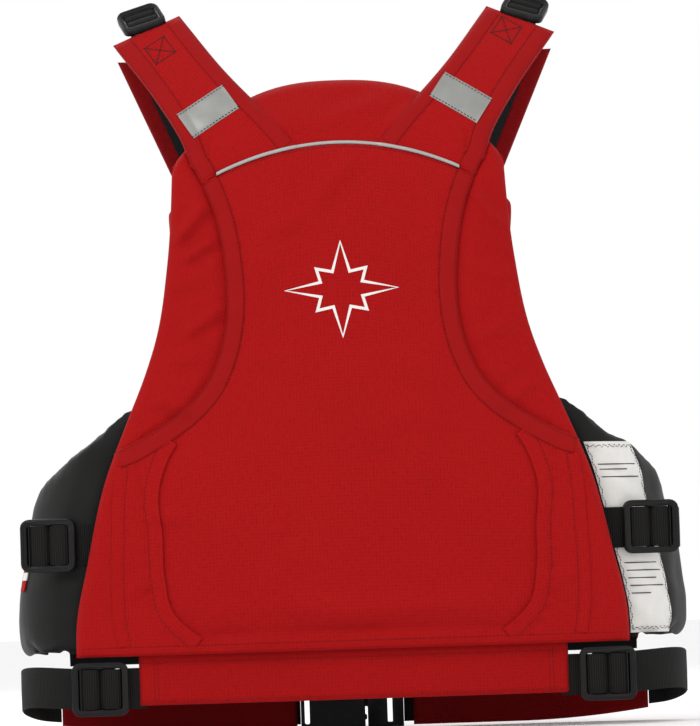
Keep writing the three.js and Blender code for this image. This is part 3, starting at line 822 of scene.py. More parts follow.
def softened(node: str, radius: float, material: Finish, name: str) -> Piece:
    """A copy of a frame node with welded points, flat faces joined and rounded edges."""
    mesh = bpy.data.objects[node].data.copy()
    work = bmesh.new()
    work.from_mesh(mesh)
    bmesh.ops.remove_doubles(work, verts=work.verts, dist=2e-6)
    bmesh.ops.dissolve_limit(work, angle_limit=math.radians(1), verts=work.verts, edges=work.edges)
    work.to_mesh(mesh)
    work.free()
    obj = in_scene(name, mesh)
    bevel = obj.modifiers.new("rounded", "BEVEL")
    bevel.width = radius
    bevel.segments = 3
    bevel.limit_method = "ANGLE"
    final = final_mesh(obj)
    bpy.data.objects.remove(obj)
    final.name = name
    final.materials.clear()
    final.materials.append(material)
    final.shade_smooth()
    final.set_sharp_from_angle(angle=math.radians(40))
    result = in_scene(name, final)
    return result


# ------------------------------------------------------------------ the pattern
@dataclass(frozen=True)
class Crease:
    """A soft ridge pressed into the cloth between two places."""

    start: tuple[float, float]
    end: tuple[float, float]
    height: float = 1.6 * MM
    width: float = 6 * MM

    def lift(self, x: Array, z: Array) -> Array:
        """How far it lifts the surface."""
        dx, dz = self.end[0] - self.start[0], self.end[1] - self.start[1]
        reach = math.hypot(dx, dz)
        t = ((x - self.start[0]) * dx + (z - self.start[1]) * dz) / reach**2
        off = ((x - self.start[0]) * dz - (z - self.start[1]) * dx) / reach
        fade = np.clip(t * 4, 0, 1) * np.clip((1 - t) * 4, 0, 1)
        ridge = np.exp(-((off / self.width) ** 2)) - 0.5 * np.exp(-(((off - 1.7 * self.width) / self.width) ** 2))
        return self.height * fade * ridge


def mm_curve(*stations: tuple[float, float]) -> Callable[[Array], Array]:
    """Smooth curve through stations given in millimetres."""
    return smooth_curve([(a * MM, b * MM) for a, b in stations])


class Pattern:
    """The curves that every piece of the jacket is cut to, placed from the frame."""

    def __init__(self) -> None:
        """Takes the main places from the frame."""
        self.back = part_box("back_overlay")[0][1]
        self.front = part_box("front_cover_left")[1][1]
        self.shift = self.back + 0.1
        self.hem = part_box("back_cover")[0][2]
        self.back_half = mm_curve((64, 217), (90, 215.9), (136, 206.2), (203, 189.4), (246, 171.9), (283,
                                                                                                     156.2),
                                  (310, 146.9), (368, 136.1), (443, 130.2), (520, 130.2))
        waist = mm_curve((222, 184.5), (235, 158.4), (247, 138), (261, 119.8), (275, 107.9), (293, 99),
                         (318, 92.4), (368, 91.6), (397, 95.9), (421, 103.1), (444, 113), (470, 125.9))
        self.overlay_half = lambda z: np.where(z < 0.222, self.back_half(z), waist(np.maximum(z, 0.222)))
        self.waist = waist
        self.front_half = mm_curve((50, 236.1), (120, 236.1), (150, 233.1), (180, 225.7), (205, 212), (235,
                                                                                                       188.8),
                                   (262, 168.2), (308, 151), (368, 141.1), (430, 136.7))
        self.strap_outer = (mm_curve((0, 112), (250, 122), (600, 144), (1000, 176)),
                            mm_curve((0, 441), (250, 466), (600, 504), (1000, 550)))
        self.strap_inner = (mm_curve((0, 31), (300, 61), (600, 88), (1000, 123)),
                            mm_curve((0, 463), (300, 494), (600, 525), (1000, 574)))
        groove = [(-122, 243), (-141, 214), (-148, 190), (-146, 158), (-145, 123), (-139, 97), (-127, 84),
                  (-114, 75), (-104, 70.5)]
        self.pocket = {Side.LEFT: rounded([(x * MM, z * MM) for x, z in groove]),
                       Side.RIGHT: rounded([(-x * MM, z * MM) for x, z in groove])}
        self.outer_seam = {side: rounded([(side.sign * x * MM, z * MM) for x, z in
                           ((165, 226), (161, 190), (158, 150), (157, 110), (152, 86),
                                   (138, 71))]) for side in Side}
        self.creases = [Crease((a * MM, b * MM), (c * MM, d * MM), 1.35 * h * MM, w * MM) for a, b, c, d, h,
                        w in (
            (-131, 384, -101, 418, 3.2, 5), (-126, 371, -93, 390, 2.8, 4.5), (-138, 352, -98, 362, 1.2, 7),
            (-126, 312, -90, 336, 2.6, 5), (-140, 290, -108, 300, 1.3, 7), (-152, 266, -116, 252, 2.0, 6),
            (-66, 388, -24, 404, 1.5, 7), (-27, 406, 19, 456, 1.8, 8), (58, 445, 84, 380, 1.3, 8),
            (-84, 300, -20, 282, 0.8, 10), (-70, 345, -40, 395, 0.8, 9), (30, 300, 84, 262, 0.9, 10),
            (128, 388, 102, 422, 2.6, 5), (134, 350, 96, 362, 1.8, 6), (133, 318, 100, 300, 1.6, 6),
            (152, 272, 120, 250, 1.8, 6), (60, 150, 64, 330, 0.7, 14), (-60, 92, -58, 210, 0.7, 12),
            (-160, 176, -124, 168, 1.2, 6), (-178, 110, -150, 128, 1.2, 6), (178, 120, 150, 110, 1.0, 6),
            (-95, 120, 20, 86, 0.8, 10), (-40, 88, 96, 100, 0.7, 9), (48, 500, -22, 474, 1.9, 7),
            (-66, 494, -34, 468, 2.2, 5), (66, 494, 38, 470, 2.0, 5), (10, 235, 90, 250, 0.6, 12))]

    def neck(self, s: Array) -> Array:
        """Top edge of the back at a share of its half width."""
        return (446 + 68 * (1 - np.abs(s) ** 2.6)) * MM

    def arc(self, x: Array) -> Array:
        """Lower side of the piping."""
        return (459 - 22 * (x / 0.095) ** 2) * MM

    def relief(self, x: Array, z: Array) -> Array:
        """How far the back stands out from its plain curve, with its seams and creases."""
        x, z = np.broadcast_arrays(np.asarray(x, float), np.asarray(z, float))
        total = soft_noise(x, z, 0.16, 4) * 0.7 * MM + soft_noise(x, z, 0.045, 9) * 0.22 * MM
        for crease in self.creases:
            total += crease.lift(x, z)
        for side in Side:
            near = line_distance(x, z, self.pocket[side])
            total -= 1.6 * MM * np.exp(-((near / (5 * MM)) ** 2))
            far = line_distance(x, z, self.outer_seam[side])
            pucker = 1 + 0.5 * np.sin(z * TURN / (11 * MM))
            total -= 1.0 * MM * pucker * np.exp(-((far / (3 * MM)) ** 2))
        middle = np.clip(1 - (x / 0.135) ** 2, 0, 1) * np.clip((z - 0.064) / 0.03, 0, 1)
        total += 3.5 * MM * middle * np.clip((0.30 - z) / 0.16, 0, 1) ** 0.7
        edge = np.abs(x) - self.overlay_half(z)
        wing = np.clip(edge / (self.back_half(z) - self.overlay_half(z) + 1e-6), 0, 1)
        total += 3.5 * MM * np.where(edge > 0, np.sin(math.pi * wing ** 0.6),
                                     0) * np.clip((z - 0.225) / 0.05, 0, 1)
        upper = np.where(z > 0.235, 1, 0) * np.where(z < 0.45, 1, 0)
        ripple = 1 + 0.6 * np.sin(z * TURN / (14 * MM) + x * 80)
        total -= 0.7 * MM * upper * ripple * np.exp(-(((edge + 15 * MM) / (3.5 * MM)) ** 2))
        total -= 1.2 * MM * upper * np.exp(-(((edge - 2 * MM) / (4 * MM)) ** 2))
        low = np.clip((0.118 - np.abs(x)) / 0.012, 0, 1)
        tuck = 1 + 0.35 * np.sin(x * 46 + 1.1) + 0.2 * np.sin(x * 131)
        total -= 1.7 * MM * low * tuck * np.exp(-(((z - 0.0785) / (4.5 * MM)) ** 2))
        total += 1.5 * MM * low * np.exp(-(((z - 0.096) / (11 * MM)) ** 2))
        arc = z - self.arc(x)
        near_arc = np.where(np.abs(x) < 0.1, 1.0, 0.0)
        total += near_arc * 3.2 * MM * np.where(arc > 0, np.exp(-(((arc - 24 * MM) / (17 * MM)) ** 2)), 0)
        return total - near_arc * 0.8 * MM * np.exp(-((arc / (3 * MM)) ** 2))

    def back_y(self, x: Array, z: Array, relief: bool = True) -> Array:
        """Outer face of the back."""
        x, z = np.asarray(x, float), np.asarray(z, float)
        lean = 0.08 * (np.maximum(0, z - 0.4) / 0.16) ** 2
        plain = self.back + 0.022 * (x / 0.2) ** 2 + lean
        return plain - self.relief(x, z) if relief else plain

    def front_y(self, x: Array, z: Array) -> Array:
        """Outer face of the front."""
        lean = 0.075 * (np.maximum(0, z - 0.38) / 0.18) ** 2
        return self.front - 0.022 * (x / 0.2) ** 2 - lean

    def front_inner(self, z: Array) -> Array:
        """Zip edge and V neck of a front panel."""
        return (14 + 62 * (np.maximum(0, z - 0.33) / 0.1) ** 1.2) * MM

    def side_point(self, side: Side, s: Array, z: Array, depth: Array) -> Array:
        """Point of a side panel: s runs from back to front, depth goes inwards."""
        back_x = self.back_half(z) - 12 * MM
        share = back_x / self.back_half(z)
        inner = (3.9 + 28 + (8 - 28) * share**4 + 0.3 + 1.5) * MM
        front_x = self.front_half(np.minimum(z, 0.176)) + 0.3 * MM
        back_end = self.back_y(back_x, z, False) + inner + 3.9 * MM
        front_end = self.front_y(front_x, z) - 3 * MM
        turn = math.pi * s
        x = back_x + (front_x - back_x) * s + (48 * MM - depth) * np.sin(turn)
        y = back_end + (front_end - back_end) * (1 - np.cos(turn)) / 2 + depth * np.cos(turn)
        return np.stack(np.broadcast_arrays(side.sign * x, y, z + 0 * x), axis=-1)

    def side_top(self, s: Array) -> Array:
        """Armhole edge of a side panel."""
        return (177 + 93 * (1 - s) ** 1.5) * MM

    def strap(self, s: Array, t: Array) -> tuple[Array, Array]:
        """x and z of the right back strap: s from its inner to its outer edge, t from piping to shoulder."""
        x = self.strap_inner[0](t) * (1 - s) + self.strap_outer[0](t) * s
        z = self.strap_inner[1](t) * (1 - s) + self.strap_outer[1](t) * s
        start_x = self.strap_inner[0](0) * (1 - s) + self.strap_outer[0](0) * s
        start_z = self.strap_inner[1](0) * (1 - s) + self.strap_outer[1](0) * s
        drop = np.maximum(0, start_z - self.arc(start_x) - 1.2 * MM) * np.clip(1 - t / 0.3, 0, 1) ** 2
        z = z - drop
        return np.where(z < 0.444, np.minimum(x, self.waist(z)), x), z


def pillow(name: str, place: Callable[[Array, Array], tuple[Array, Array]], mid: Callable[[Array, Array],
                                                                                          Array],
           half: Callable[[Array, Array], Array], size: tuple[float, float], counts: tuple[int, int],
           radius: tuple[float, float], material: Finish) -> Piece:
    """A closed pad whose two faces meet in a rounded rim.

    Args:
        name: Object name.
        place: Gives x and z for shares across and along.
        mid: Gives y of its middle surface at x and z.
        half: Gives half its thickness at x and z.
        size: Rough width and length.
        counts: Columns and rows.
        radius: Rounding at the side rims and at the end rims.
        material: Its finish.

    Returns:
        The pad.
    """
    s, t = np.meshgrid(spread(counts[0]), spread(counts[1]))
    x, z = place(s, t)
    full = crown(np.minimum(s, 1 - s) * size[0] / radius[0], np.minimum(t, 1 - t) * size[1] / radius[1])
    middle, thick = mid(x, z), half(x, z) * full
    outer = grid(x, middle - thick, z)
    inner = grid(x, middle + thick, z)
    return grid_solid(name, outer, inner, material)


@dataclass(frozen=True)
class Inflation:
    """Cloth simulation that swells a pad."""

    voxel: float = 5 * MM
    pressure: float = 4.0
    frames: int = 20
    cap: float = 6 * MM

    def swell(self, pad: Piece, rumple: float = 0.0, seed: int = 1) -> Piece:
        """Swells a pad in place and gives it back, subdivided once and rumpled along its normals."""
        remesh = pad.modifiers.new("even", "REMESH")
        remesh.mode = "VOXEL"
        remesh.voxel_size = self.voxel
        self._apply(pad)
        before = self._points(pad)
        cloth = pad.modifiers.new("cloth", "CLOTH")
        cloth.settings.use_pressure = True
        cloth.settings.uniform_pressure_force = self.pressure
        cloth.settings.effector_weights.gravity = 0.0
        cloth.settings.quality = 5
        cloth.settings.tension_stiffness = 30
        cloth.settings.compression_stiffness = 10
        cloth.settings.bending_stiffness = 1.5
        cloth.point_cache.frame_start, cloth.point_cache.frame_end = 1, self.frames
        for number in range(1, self.frames + 1):
            bpy.context.scene.frame_set(number)
        after = self._points(bpy.context.evaluated_depsgraph_get().objects[pad.name])
        pad.modifiers.remove(cloth)
        bpy.context.scene.frame_set(1)
        move = after - before
        reach = np.linalg.norm(move, axis=1)[:, None]
        move *= np.minimum(1, self.cap / np.maximum(reach, 1e-9))
        pad.data.vertices.foreach_set("co", (before + move).astype(np.float32).ravel())
        LOG.info("%s swelled by up to %.1f mm", pad.name, reach.max() / MM)
        relax = pad.modifiers.new("relaxed", "SMOOTH")
        relax.factor, relax.iterations = 0.5, 4
        finer = pad.modifiers.new("finer", "SUBSURF")
        finer.levels = finer.render_levels = 1
        self._apply(pad)
        points = self._points(pad)
        normals = np.empty(len(points) * 3, np.float32)
        pad.data.vertices.foreach_get("normal", normals)
        wrap = points[:, 0] * 0.8 + points[:, 1]
        folds = soft_noise(wrap, points[:, 2], 75 * MM, seed) + 0.4 * soft_noise(wrap, points[:, 2],
                                                                                 34 * MM, seed + 1)
        points += normals.reshape(-1, 3) * (folds * rumple)[:, None]
        pad.data.vertices.foreach_set("co", points.astype(np.float32).ravel())
        pad.data.update()
        pad.data.shade_smooth()
        return pad

    @staticmethod
    def _points(obj: Piece) -> Array:
        """Points of an object's mesh."""
        flat = np.empty(len(obj.data.vertices) * 3, np.float32)
        obj.data.vertices.foreach_get("co", flat)
        return flat.reshape(-1, 3).astype(float)

    @staticmethod
    def _apply(obj: Piece) -> None:
        """Applies every modifier of an object."""
        material = obj.data.materials[0]
        mesh = final_mesh(obj)
        obj.modifiers.clear()
        obj.data = mesh
        mesh.materials.clear()
        mesh.materials.append(material)


@dataclass
class Jacket:
    """What every sub-assembly shares."""

    cut: Pattern
    looks: Finishes
    sewing: StitchTree
    puff: Inflation = field(default_factory=Inflation)


@dataclass
class Part:
    """A sub-assembly, with short ways to what all of them share."""

    jacket: Jacket

    @property
    def cut(self) -> Pattern:
        """The pattern."""
        return self.jacket.cut

    @property
    def looks(self) -> Finishes:
        """The finishes."""
        return self.jacket.looks

    @property
    def sewing(self) -> StitchTree:
        """The stitch maker."""
        return self.jacket.sewing

    @property
    def puff(self) -> Inflation:
        """The relief maker."""
        return self.jacket.puff

    def sew(self, name: str, runs: Sequence[Array], thread: Finish, body: str, slot: str,
            *sizes: float) -> None:
        """Sews runs of stitches and settles them; sizes are pitch, length and radius."""
        settle(self.jacket.sewing.sew(name, runs, thread, *sizes), body, slot)


@dataclass
class BackPanel(Part):
    """Back pad, hourglass overlay, bindings, straps, piping, patches and emblem."""

    cover_depth: float = 2.1 * MM
    overlay_thick: float = 1.5 * MM
    binding: float = 14 * MM
    binding_rise: float = 1.1 * MM
    strap_rise: float = 6.2 * MM
    emblem_at: tuple[float, float] = (0.0, 0.345)
    emblem_size: tuple[float, float] = (44 * MM, 37 * MM)
    emblem_line: float = 2.3 * MM
    patch_long: float = 43 * MM
    patch_turn: float = math.radians(33)
    patch_at: dict[Side, tuple[float, float]] = field(
        default_factory=lambda: {Side.LEFT: (-0.1005, 0.4895), Side.RIGHT: (0.0985, 0.4945)})

    def build(self) -> None:
        """Builds every piece of the back."""
        cut, looks = self.cut, self.looks
        shell = self._shell()
        overlay = self._overlay()
        straps = {side: self._strap(side) for side in Side}
        settle(shell, "back", "red_fabric", "back_cover", "back_foam_lower", "back_foam_upper")
        settle(overlay, "back", "red_fabric", "back_overlay")
        for side, strap in straps.items():
            settle(strap, "back", "red_fabric", f"back_strap_{side.word}")
        settle(self._lining(), "back", "mesh_lining", "back_lining")
        drape = Drape(Facing.BACK, shell, overlay, *straps.values())
        bands = [self._edge_band(drape, side) for side in Side]
        for band in bands:
            settle(band, "back", "red_fabric")
        for side in Side:
            inner = self._inner_path(side)
            settle(drape.strip(f"strap_inner_band_{side.word}", inner, 12 * MM, 0.5 * MM, looks.binding),
                   "back", "red_fabric")
        pleats = []
        for side in Side:
            sign = int(side.sign)
            path = self._clear(offset_path(cut.pocket[side], sign * 6 * MM), side, -1 * MM)
            pleats.append(drape.strip(f"pocket_fold_{side.word}", path, 12 * MM, 2.1 * MM, looks.red, 0.0,
                                      -sign))
            pleats.append(drape.strip(f"side_fold_{side.word}", self._side_fold(side), 9 * MM, 1.2 * MM,
                                      looks.red,
                                      0.0, sign))
        for pleat in pleats:
            settle(pleat, "back", "red_fabric")
        self._piping(drape)
        over = Drape(Facing.BACK, shell, overlay, *straps.values(), *bands, *pleats)
        for side in Side:
            self._patch(over, side)
        settle(self._emblem(over), "back", "white_label")
        self._sew(over)

    def _shell(self) -> Piece:
        """Foam-filled back pad with its cover."""
        cut = self.cut

        def place(s: Array, t: Array) -> tuple[Array, Array]:
            """x and z of the pad."""
            share = 2 * s - 1
            z = cut.hem + t * (cut.neck(share) - cut.hem)
            return share * cut.back_half(z), z

        def half(x: Array, z: Array) -> Array:
            """Half its thickness, thinner at the sides."""
            share = np.abs(x) / cut.back_half(z)
            return (1.8 + 28 - 20 * share**4) * MM / 2 + cut.relief(x, z) / 2

        def mid(x: Array, z: Array) -> Array:
            """Middle surface: the relief belongs to the outer face only."""
            return cut.back_y(x, z, False) + self.cover_depth + half(x, z) - cut.relief(x, z)

        return pillow("back_pad", place, mid, half, (0.38, 0.43), (170, 190), (9 * MM, 9 * MM),
                      self.looks.red)

    def _overlay(self) -> Piece:
        """Hourglass cloth over the pad."""
        cut = self.cut
        s, t = np.meshgrid(2 * spread(180, 0.3) - 1, spread(210, 0.2))
        top = cut.arc(s * 0.112)
        z = cut.hem + t * (top - cut.hem)
        half = np.where(z > 0.437, np.minimum(cut.overlay_half(z), 0.112), cut.overlay_half(z))
        x = s * half
        near = (1 - np.abs(s)) * half
        side = roll(near, 2 * MM) * 0.6 + np.where(z < 0.224, roll(near, 9 * MM), 0) * 0.8
        hem = roll(z - cut.hem, 5 * MM) * 0.6
        outer_y = cut.back_y(x, z) + side + hem
        outer = grid(x, outer_y, z)
        inner = grid(x, outer_y + self.overlay_thick, z)
        return grid_solid("hourglass_overlay", outer, inner, self.looks.red, 60)

    def _strap(self, side: Side) -> Piece:
        """Padded strap sewn over the back and running up to the shoulder."""
        cut = self.cut
        s, t = np.meshgrid(spread(44), spread(96, 0.35))
        x, z = cut.strap(s, t)
        x = side.sign * x
        rise = self.strap_rise * np.minimum(1, np.maximum(t - 0.02, 0.0) / 0.25)
        full = crown(np.minimum(s, 1 - s) * 0.06 / (7 * MM), (1 - t) * 0.13 / (4 * MM))
        pinch = 0.8 * MM * np.exp(-(((np.minimum(s, 1 - s) * 0.06 - 13 * MM) / (2.5 * MM)) ** 2))
        wave = soft_noise(x, z, 0.035, 31 + int(side.sign)) * 0.35 * MM
        base = cut.back_y(x, z, False) - cut.relief(x, z) * np.clip(1 - t / 0.25, 0, 1)
        outer_y = base - (rise + 1.2 * MM) * full + 1.2 * MM + pinch + wave * full
        inner_y = base + 1.4 * MM
        outer_y = np.minimum(outer_y, inner_y - 0.3 * MM)
        outer = grid(x, outer_y, z)
        inner = grid(x, inner_y, z)
        return grid_solid(f"back_strap_pad_{side.word}", outer, inner, self.looks.red, 70)

    def _lining(self) -> Piece:
        """Mesh lining on the wearer's side."""
        cut = self.cut
        s, t = np.meshgrid(2 * spread(70, 0.4) - 1, spread(80, 0.4))
        s = s * 0.985
        z = cut.hem + 3 * MM + t * (cut.neck(s) - cut.hem - 7 * MM)
        x = s * cut.back_half(z)
        foam = (3.9 + 28 - 20 * np.abs(s) ** 4) * MM
        y = cut.back_y(x, z, False) + foam + soft_noise(x, z, 0.09, 3) * 0.35 * MM
        near = np.minimum((1 - np.abs(s)) * 0.19, np.minimum(t, 1 - t) * 0.43)
        y = y - roll(near, 5 * MM) * 0.4
        outer = grid(x, y + 0.5 * MM, z)
        inner = grid(x, y + 1.9 * MM, z)
        return grid_solid("back_mesh", outer, inner, self.looks.mesh, 60)

    def _edge_path(self, side: Side) -> Line:
        """Middle line of the binding from the hem corner of the hourglass to the shoulder."""
        cut = self.cut
        inset = self.binding / 2
        path = [(cut.back_half(0.2255) - 2 * MM, 0.2255 - inset)]
        for z in (0.229, 0.235, 0.247, 0.261, 0.275, 0.293, 0.318, 0.343, 0.368, 0.397, 0.421):
            x = float(cut.waist(z))
            slope = float(cut.waist(z + 1 * MM) - cut.waist(z - 1 * MM)) / (2 * MM)
            size = math.hypot(1, slope)
            path.append((x - inset / size, z + slope * inset / size))
        path = [point for k,
                point in enumerate(path) if k == 0 or point[0] < path[k - 1][0] or point[1] > 0.27]
        for t in np.linspace(0.06, 0.975, 14):
            edge, inner = cut.strap(1.0, t), cut.strap(0.0, t)
            reach = math.hypot(edge[0] - inner[0], edge[1] - inner[1])
            share = inset / reach
            path.append((float(edge[0] + (inner[0] - edge[0]) * share),
                         float(edge[1] + (inner[1] - edge[1]) * share)))
        return mirrored(rounded(path, 2.5 * MM), side.sign)

    def _clear(self, path: Outline, side: Side, gap: float) -> Line:
        """The points of a path that lie below the binding, by more than a gap."""
        places = np.array(path)
        near = line_distance(places[:, 0], places[:, 1], self._edge_path(side)) > self.binding / 2 + gap
        return [tuple(p) for p in places[near & (places[:, 1] < 0.245) & (places[:, 1] > 0.0715)].tolist()]

    def _side_fold(self, side: Side) -> Line:
        """Pleat near the panel's side edge."""
        path = [(181, 212), (184, 190), (186, 150), (187, 120), (186, 90), (183, 72)]
        return rounded([(side.sign * (x - 4.5) * MM, z * MM) for x, z in path])

    def _inner_path(self, side: Side) -> Line:
        """Middle line of the band along the strap's neck edge."""
        cut = self.cut
        path = []
        for t in np.linspace(0.03, 0.975, 16):
            edge, inner = cut.strap(1.0, t), cut.strap(0.0, t)
            share = 1 - 6.5 * MM / math.hypot(edge[0] - inner[0], edge[1] - inner[1])
            path.append((float(edge[0] + (inner[0] - edge[0]) * share),
                         float(edge[1] + (inner[1] - edge[1]) * share)))
        return mirrored(rounded(path, 2.5 * MM), side.sign)

    def _edge_band(self, drape: Drape, side: Side) -> Piece:
        """Smooth binding along the hourglass and the strap."""
        return drape.strip(f"edge_binding_{side.word}", self._edge_path(side), self.binding,
                           self.binding_rise, self.looks.binding)

    def _piping(self, drape: Drape) -> None:
        """Reflective cord sewn across the yoke."""
        cut = self.cut
        xs = np.linspace(-0.095, 0.095, 120)
        line = drape.lay([(float(x), float(cut.arc(x)) + 1.8 * MM) for x in xs], 0.0)
        turn = np.linspace(0, TURN, 12, endpoint=False)
        points = np.stack([np.stack([line[:, 0], line[:, 1] - 1.2 * MM * math.cos(a) - 0.3 * MM,
                                     line[:, 2] + 1.5 * MM * math.sin(a)], axis=1) for a in turn], axis=1)
        faces = tube_faces(*points.shape[:2])
        cord = build("yoke_piping", points.reshape(-1, 3), faces, self.looks.piping, None, 60)
        settle(cord, "back", "reflective_tape", "reflective_piping")

    def _patch(self, drape: Drape, side: Side) -> None:
        """Reflective patch across the strap with its two rows of stitches."""
        x, z = self.patch_at[side]
        run = np.array([math.cos(self.patch_turn), math.sin(self.patch_turn)]) * self.patch_long / 2
        run[0] *= -side.sign
        path = [(x + float(run[0]) * k, z + float(run[1]) * k) for k in np.linspace(-1, 1, 26)]
        patch = drape.strip(f"shoulder_patch_{side.word}", path, 24.5 * MM, 1.0 * MM, self.looks.silver,
                            ripple=1.3 * MM)
        settle(patch, "back", "reflective_tape", f"reflective_patch_{side.word}")
        along = np.array(path[-1]) - np.array(path[0])
        normal = np.array([-along[1], along[0]]) / np.hypot(*along)
        top = Drape(Facing.BACK, patch)
        rows = [top.lay([tuple(np.array(p) + normal * k * 10.6 * MM) for p in path],
                        0.15 * MM) for k in (-1, 1)]
        self.sew(f"patch_stitches_{side.word}", rows, self.looks.black_thread, "back", "black_webbing",
                 2.9 * MM, 2.2 * MM, 0.36 * MM)

    def _emblem(self, drape: Drape) -> Piece:
        """Outline of a plain compass star printed on the middle of the back."""
        corners = []
        for k in range(16):
            angle = math.pi / 2 + k * math.pi / 8
            reach = (1.0, 0.40, 0.62, 0.40)[k % 4]
            corners.append((self.emblem_at[0] + self.emblem_size[0] * reach * math.cos(angle),
                            self.emblem_at[1] + self.emblem_size[1] * reach * math.sin(angle)))
        outline = np.array(corners)
        after, before = np.roll(outline, -1, axis=0), np.roll(outline, 1, axis=0)
        normals = []
        for here, last, following in zip(outline, before, after):
            one, two = here - last, following - here
            n1 = np.array([one[1], -one[0]]) / np.hypot(*one)
            n2 = np.array([two[1], -two[0]]) / np.hypot(*two)
            mitre = (n1 + n2) / max(np.dot(n1 + n2, n1), 0.45)
            normals.append(mitre)
        offset = np.array(normals) * self.emblem_line / 2
        inside, outside = outline - offset, outline + offset
        steps = 10
        rings = []
        for edge in (inside, outside):
            following = np.roll(edge, -1, axis=0)
            ring = [a + (b - a) * k / steps for a, b in zip(edge, following) for k in range(steps)]
            rings.append(drape.lay([tuple(p) for p in ring], 0.3 * MM))
        ring_in, ring_out = rings
        low_in, low_out = ring_in + [0, 0.6 * MM, 0], ring_out + [0, 0.6 * MM, 0]
        n = len(ring_in)
        faces = []
        for k in range(n):
            m = (k + 1) % n
            faces += [[k, m, n + m, n + k], [2 * n + k, 3 * n + k, 3 * n + m, 2 * n + m],
                      [k, 2 * n + k, 2 * n + m, m], [n + k, n + m, 3 * n + m, 3 * n + k]]
        points = np.concatenate([ring_in, ring_out, low_in, low_out])
        return build("compass_print", points, faces, self.looks.white, None, 50)

    def _sew(self, drape: Drape) -> None:
        """Sews every seam of the back."""
        cut, looks = self.cut, self.looks
        red = []
        for side in Side:
            sign, edge, inner = side.sign, self._edge_path(side), self._inner_path(side)
            pocket = self._clear(offset_path(cut.pocket[side], sign * 11 * MM), side, 1 * MM)
            for path, lift in ((offset_path(edge, sign * (self.binding / 2 + 0.6 * MM)), 0.2),
                               (offset_path(edge, -sign * (self.binding / 2 - 1.6 * MM)), 0.15),
                               (offset_path(inner, -sign * 6.4 * MM), 0.2), (offset_path(inner,
                                       sign * 5 * MM), 0.15),
                               (pocket, 0.2), (offset_path(self._side_fold(side), -sign * 5 * MM), 0.2)):
                red.append(drape.lay(path, lift * MM))
        yoke = [(float(x), float(cut.arc(x)) - 1.6 * MM) for x in np.linspace(-0.094, 0.094, 90)]
        red.append(drape.lay(yoke, 0.15 * MM))
        hem = [(float(x), cut.hem + 7 * MM) for x in np.linspace(-0.211, 0.211, 160)]
        red.append(drape.lay(hem))
        self.sew("back_stitches", red, looks.red_thread, "back", "red_fabric")
        black = []
        for side, (x, z), tilt in ((Side.LEFT, (-0.138, 0.5435), 0.58), (Side.RIGHT, (0.1375, 0.5515),
                                                                         -0.58)):
            corners = []
            for dx, dz in ((-9, -8.5), (9, -8.5), (9, 8.5), (-9, 8.5)):
                c, s = math.cos(tilt), math.sin(tilt)
                corners.append((x + (dx * c - dz * s) * MM, z + (dx * s + dz * c) * MM))
            for a, b in ((0, 1), (1, 2), (2, 3), (3, 0), (0, 2), (1, 3)):
                run = [(corners[a][0] + (corners[b][0] - corners[a][0]) * k, corners[a][1]
                        + (corners[b][1] - corners[a][1]) * k) for k in np.linspace(0, 1, 12)]
                black.append(drape.lay(run, 0.25 * MM))
        self.sew("box_stitches", black, looks.black_thread, "back", "black_webbing", 2.3 * MM, 2.3 * MM,
                 0.42 * MM)


def offset_path(path: Outline, distance: float) -> Line:
    """A path moved sideways; positive is to its left."""
    line = np.array(path, float)
    along = headings(line)
    moved = line + np.stack([-along[:, 1], along[:, 0]], axis=1) * distance
    return [tuple(p) for p in moved.tolist()]


class Skin:
    """Finds how far a finished pad lies below its pattern."""

    def __init__(self, pad: Piece) -> None:
        """Takes the pad's mesh."""
        mesh = pad.data
        self.tree = BVHTree.FromPolygons([vertex.co.copy() for vertex in mesh.vertices],
                                         [tuple(face.vertices) for face in mesh.polygons])

    def sunk(self, place: Array, way: Array, reach: float = 12 * MM, most: float = 4 * MM) -> float:
        """Depth of the pad's skin under a place, along a direction that points out of it."""
        start = Vector(place + way * reach)
        hit = self.tree.ray_cast(start, Vector(-way), 3 * reach)[3]
        return min(most, (hit if hit is not None else reach + most) - reach)


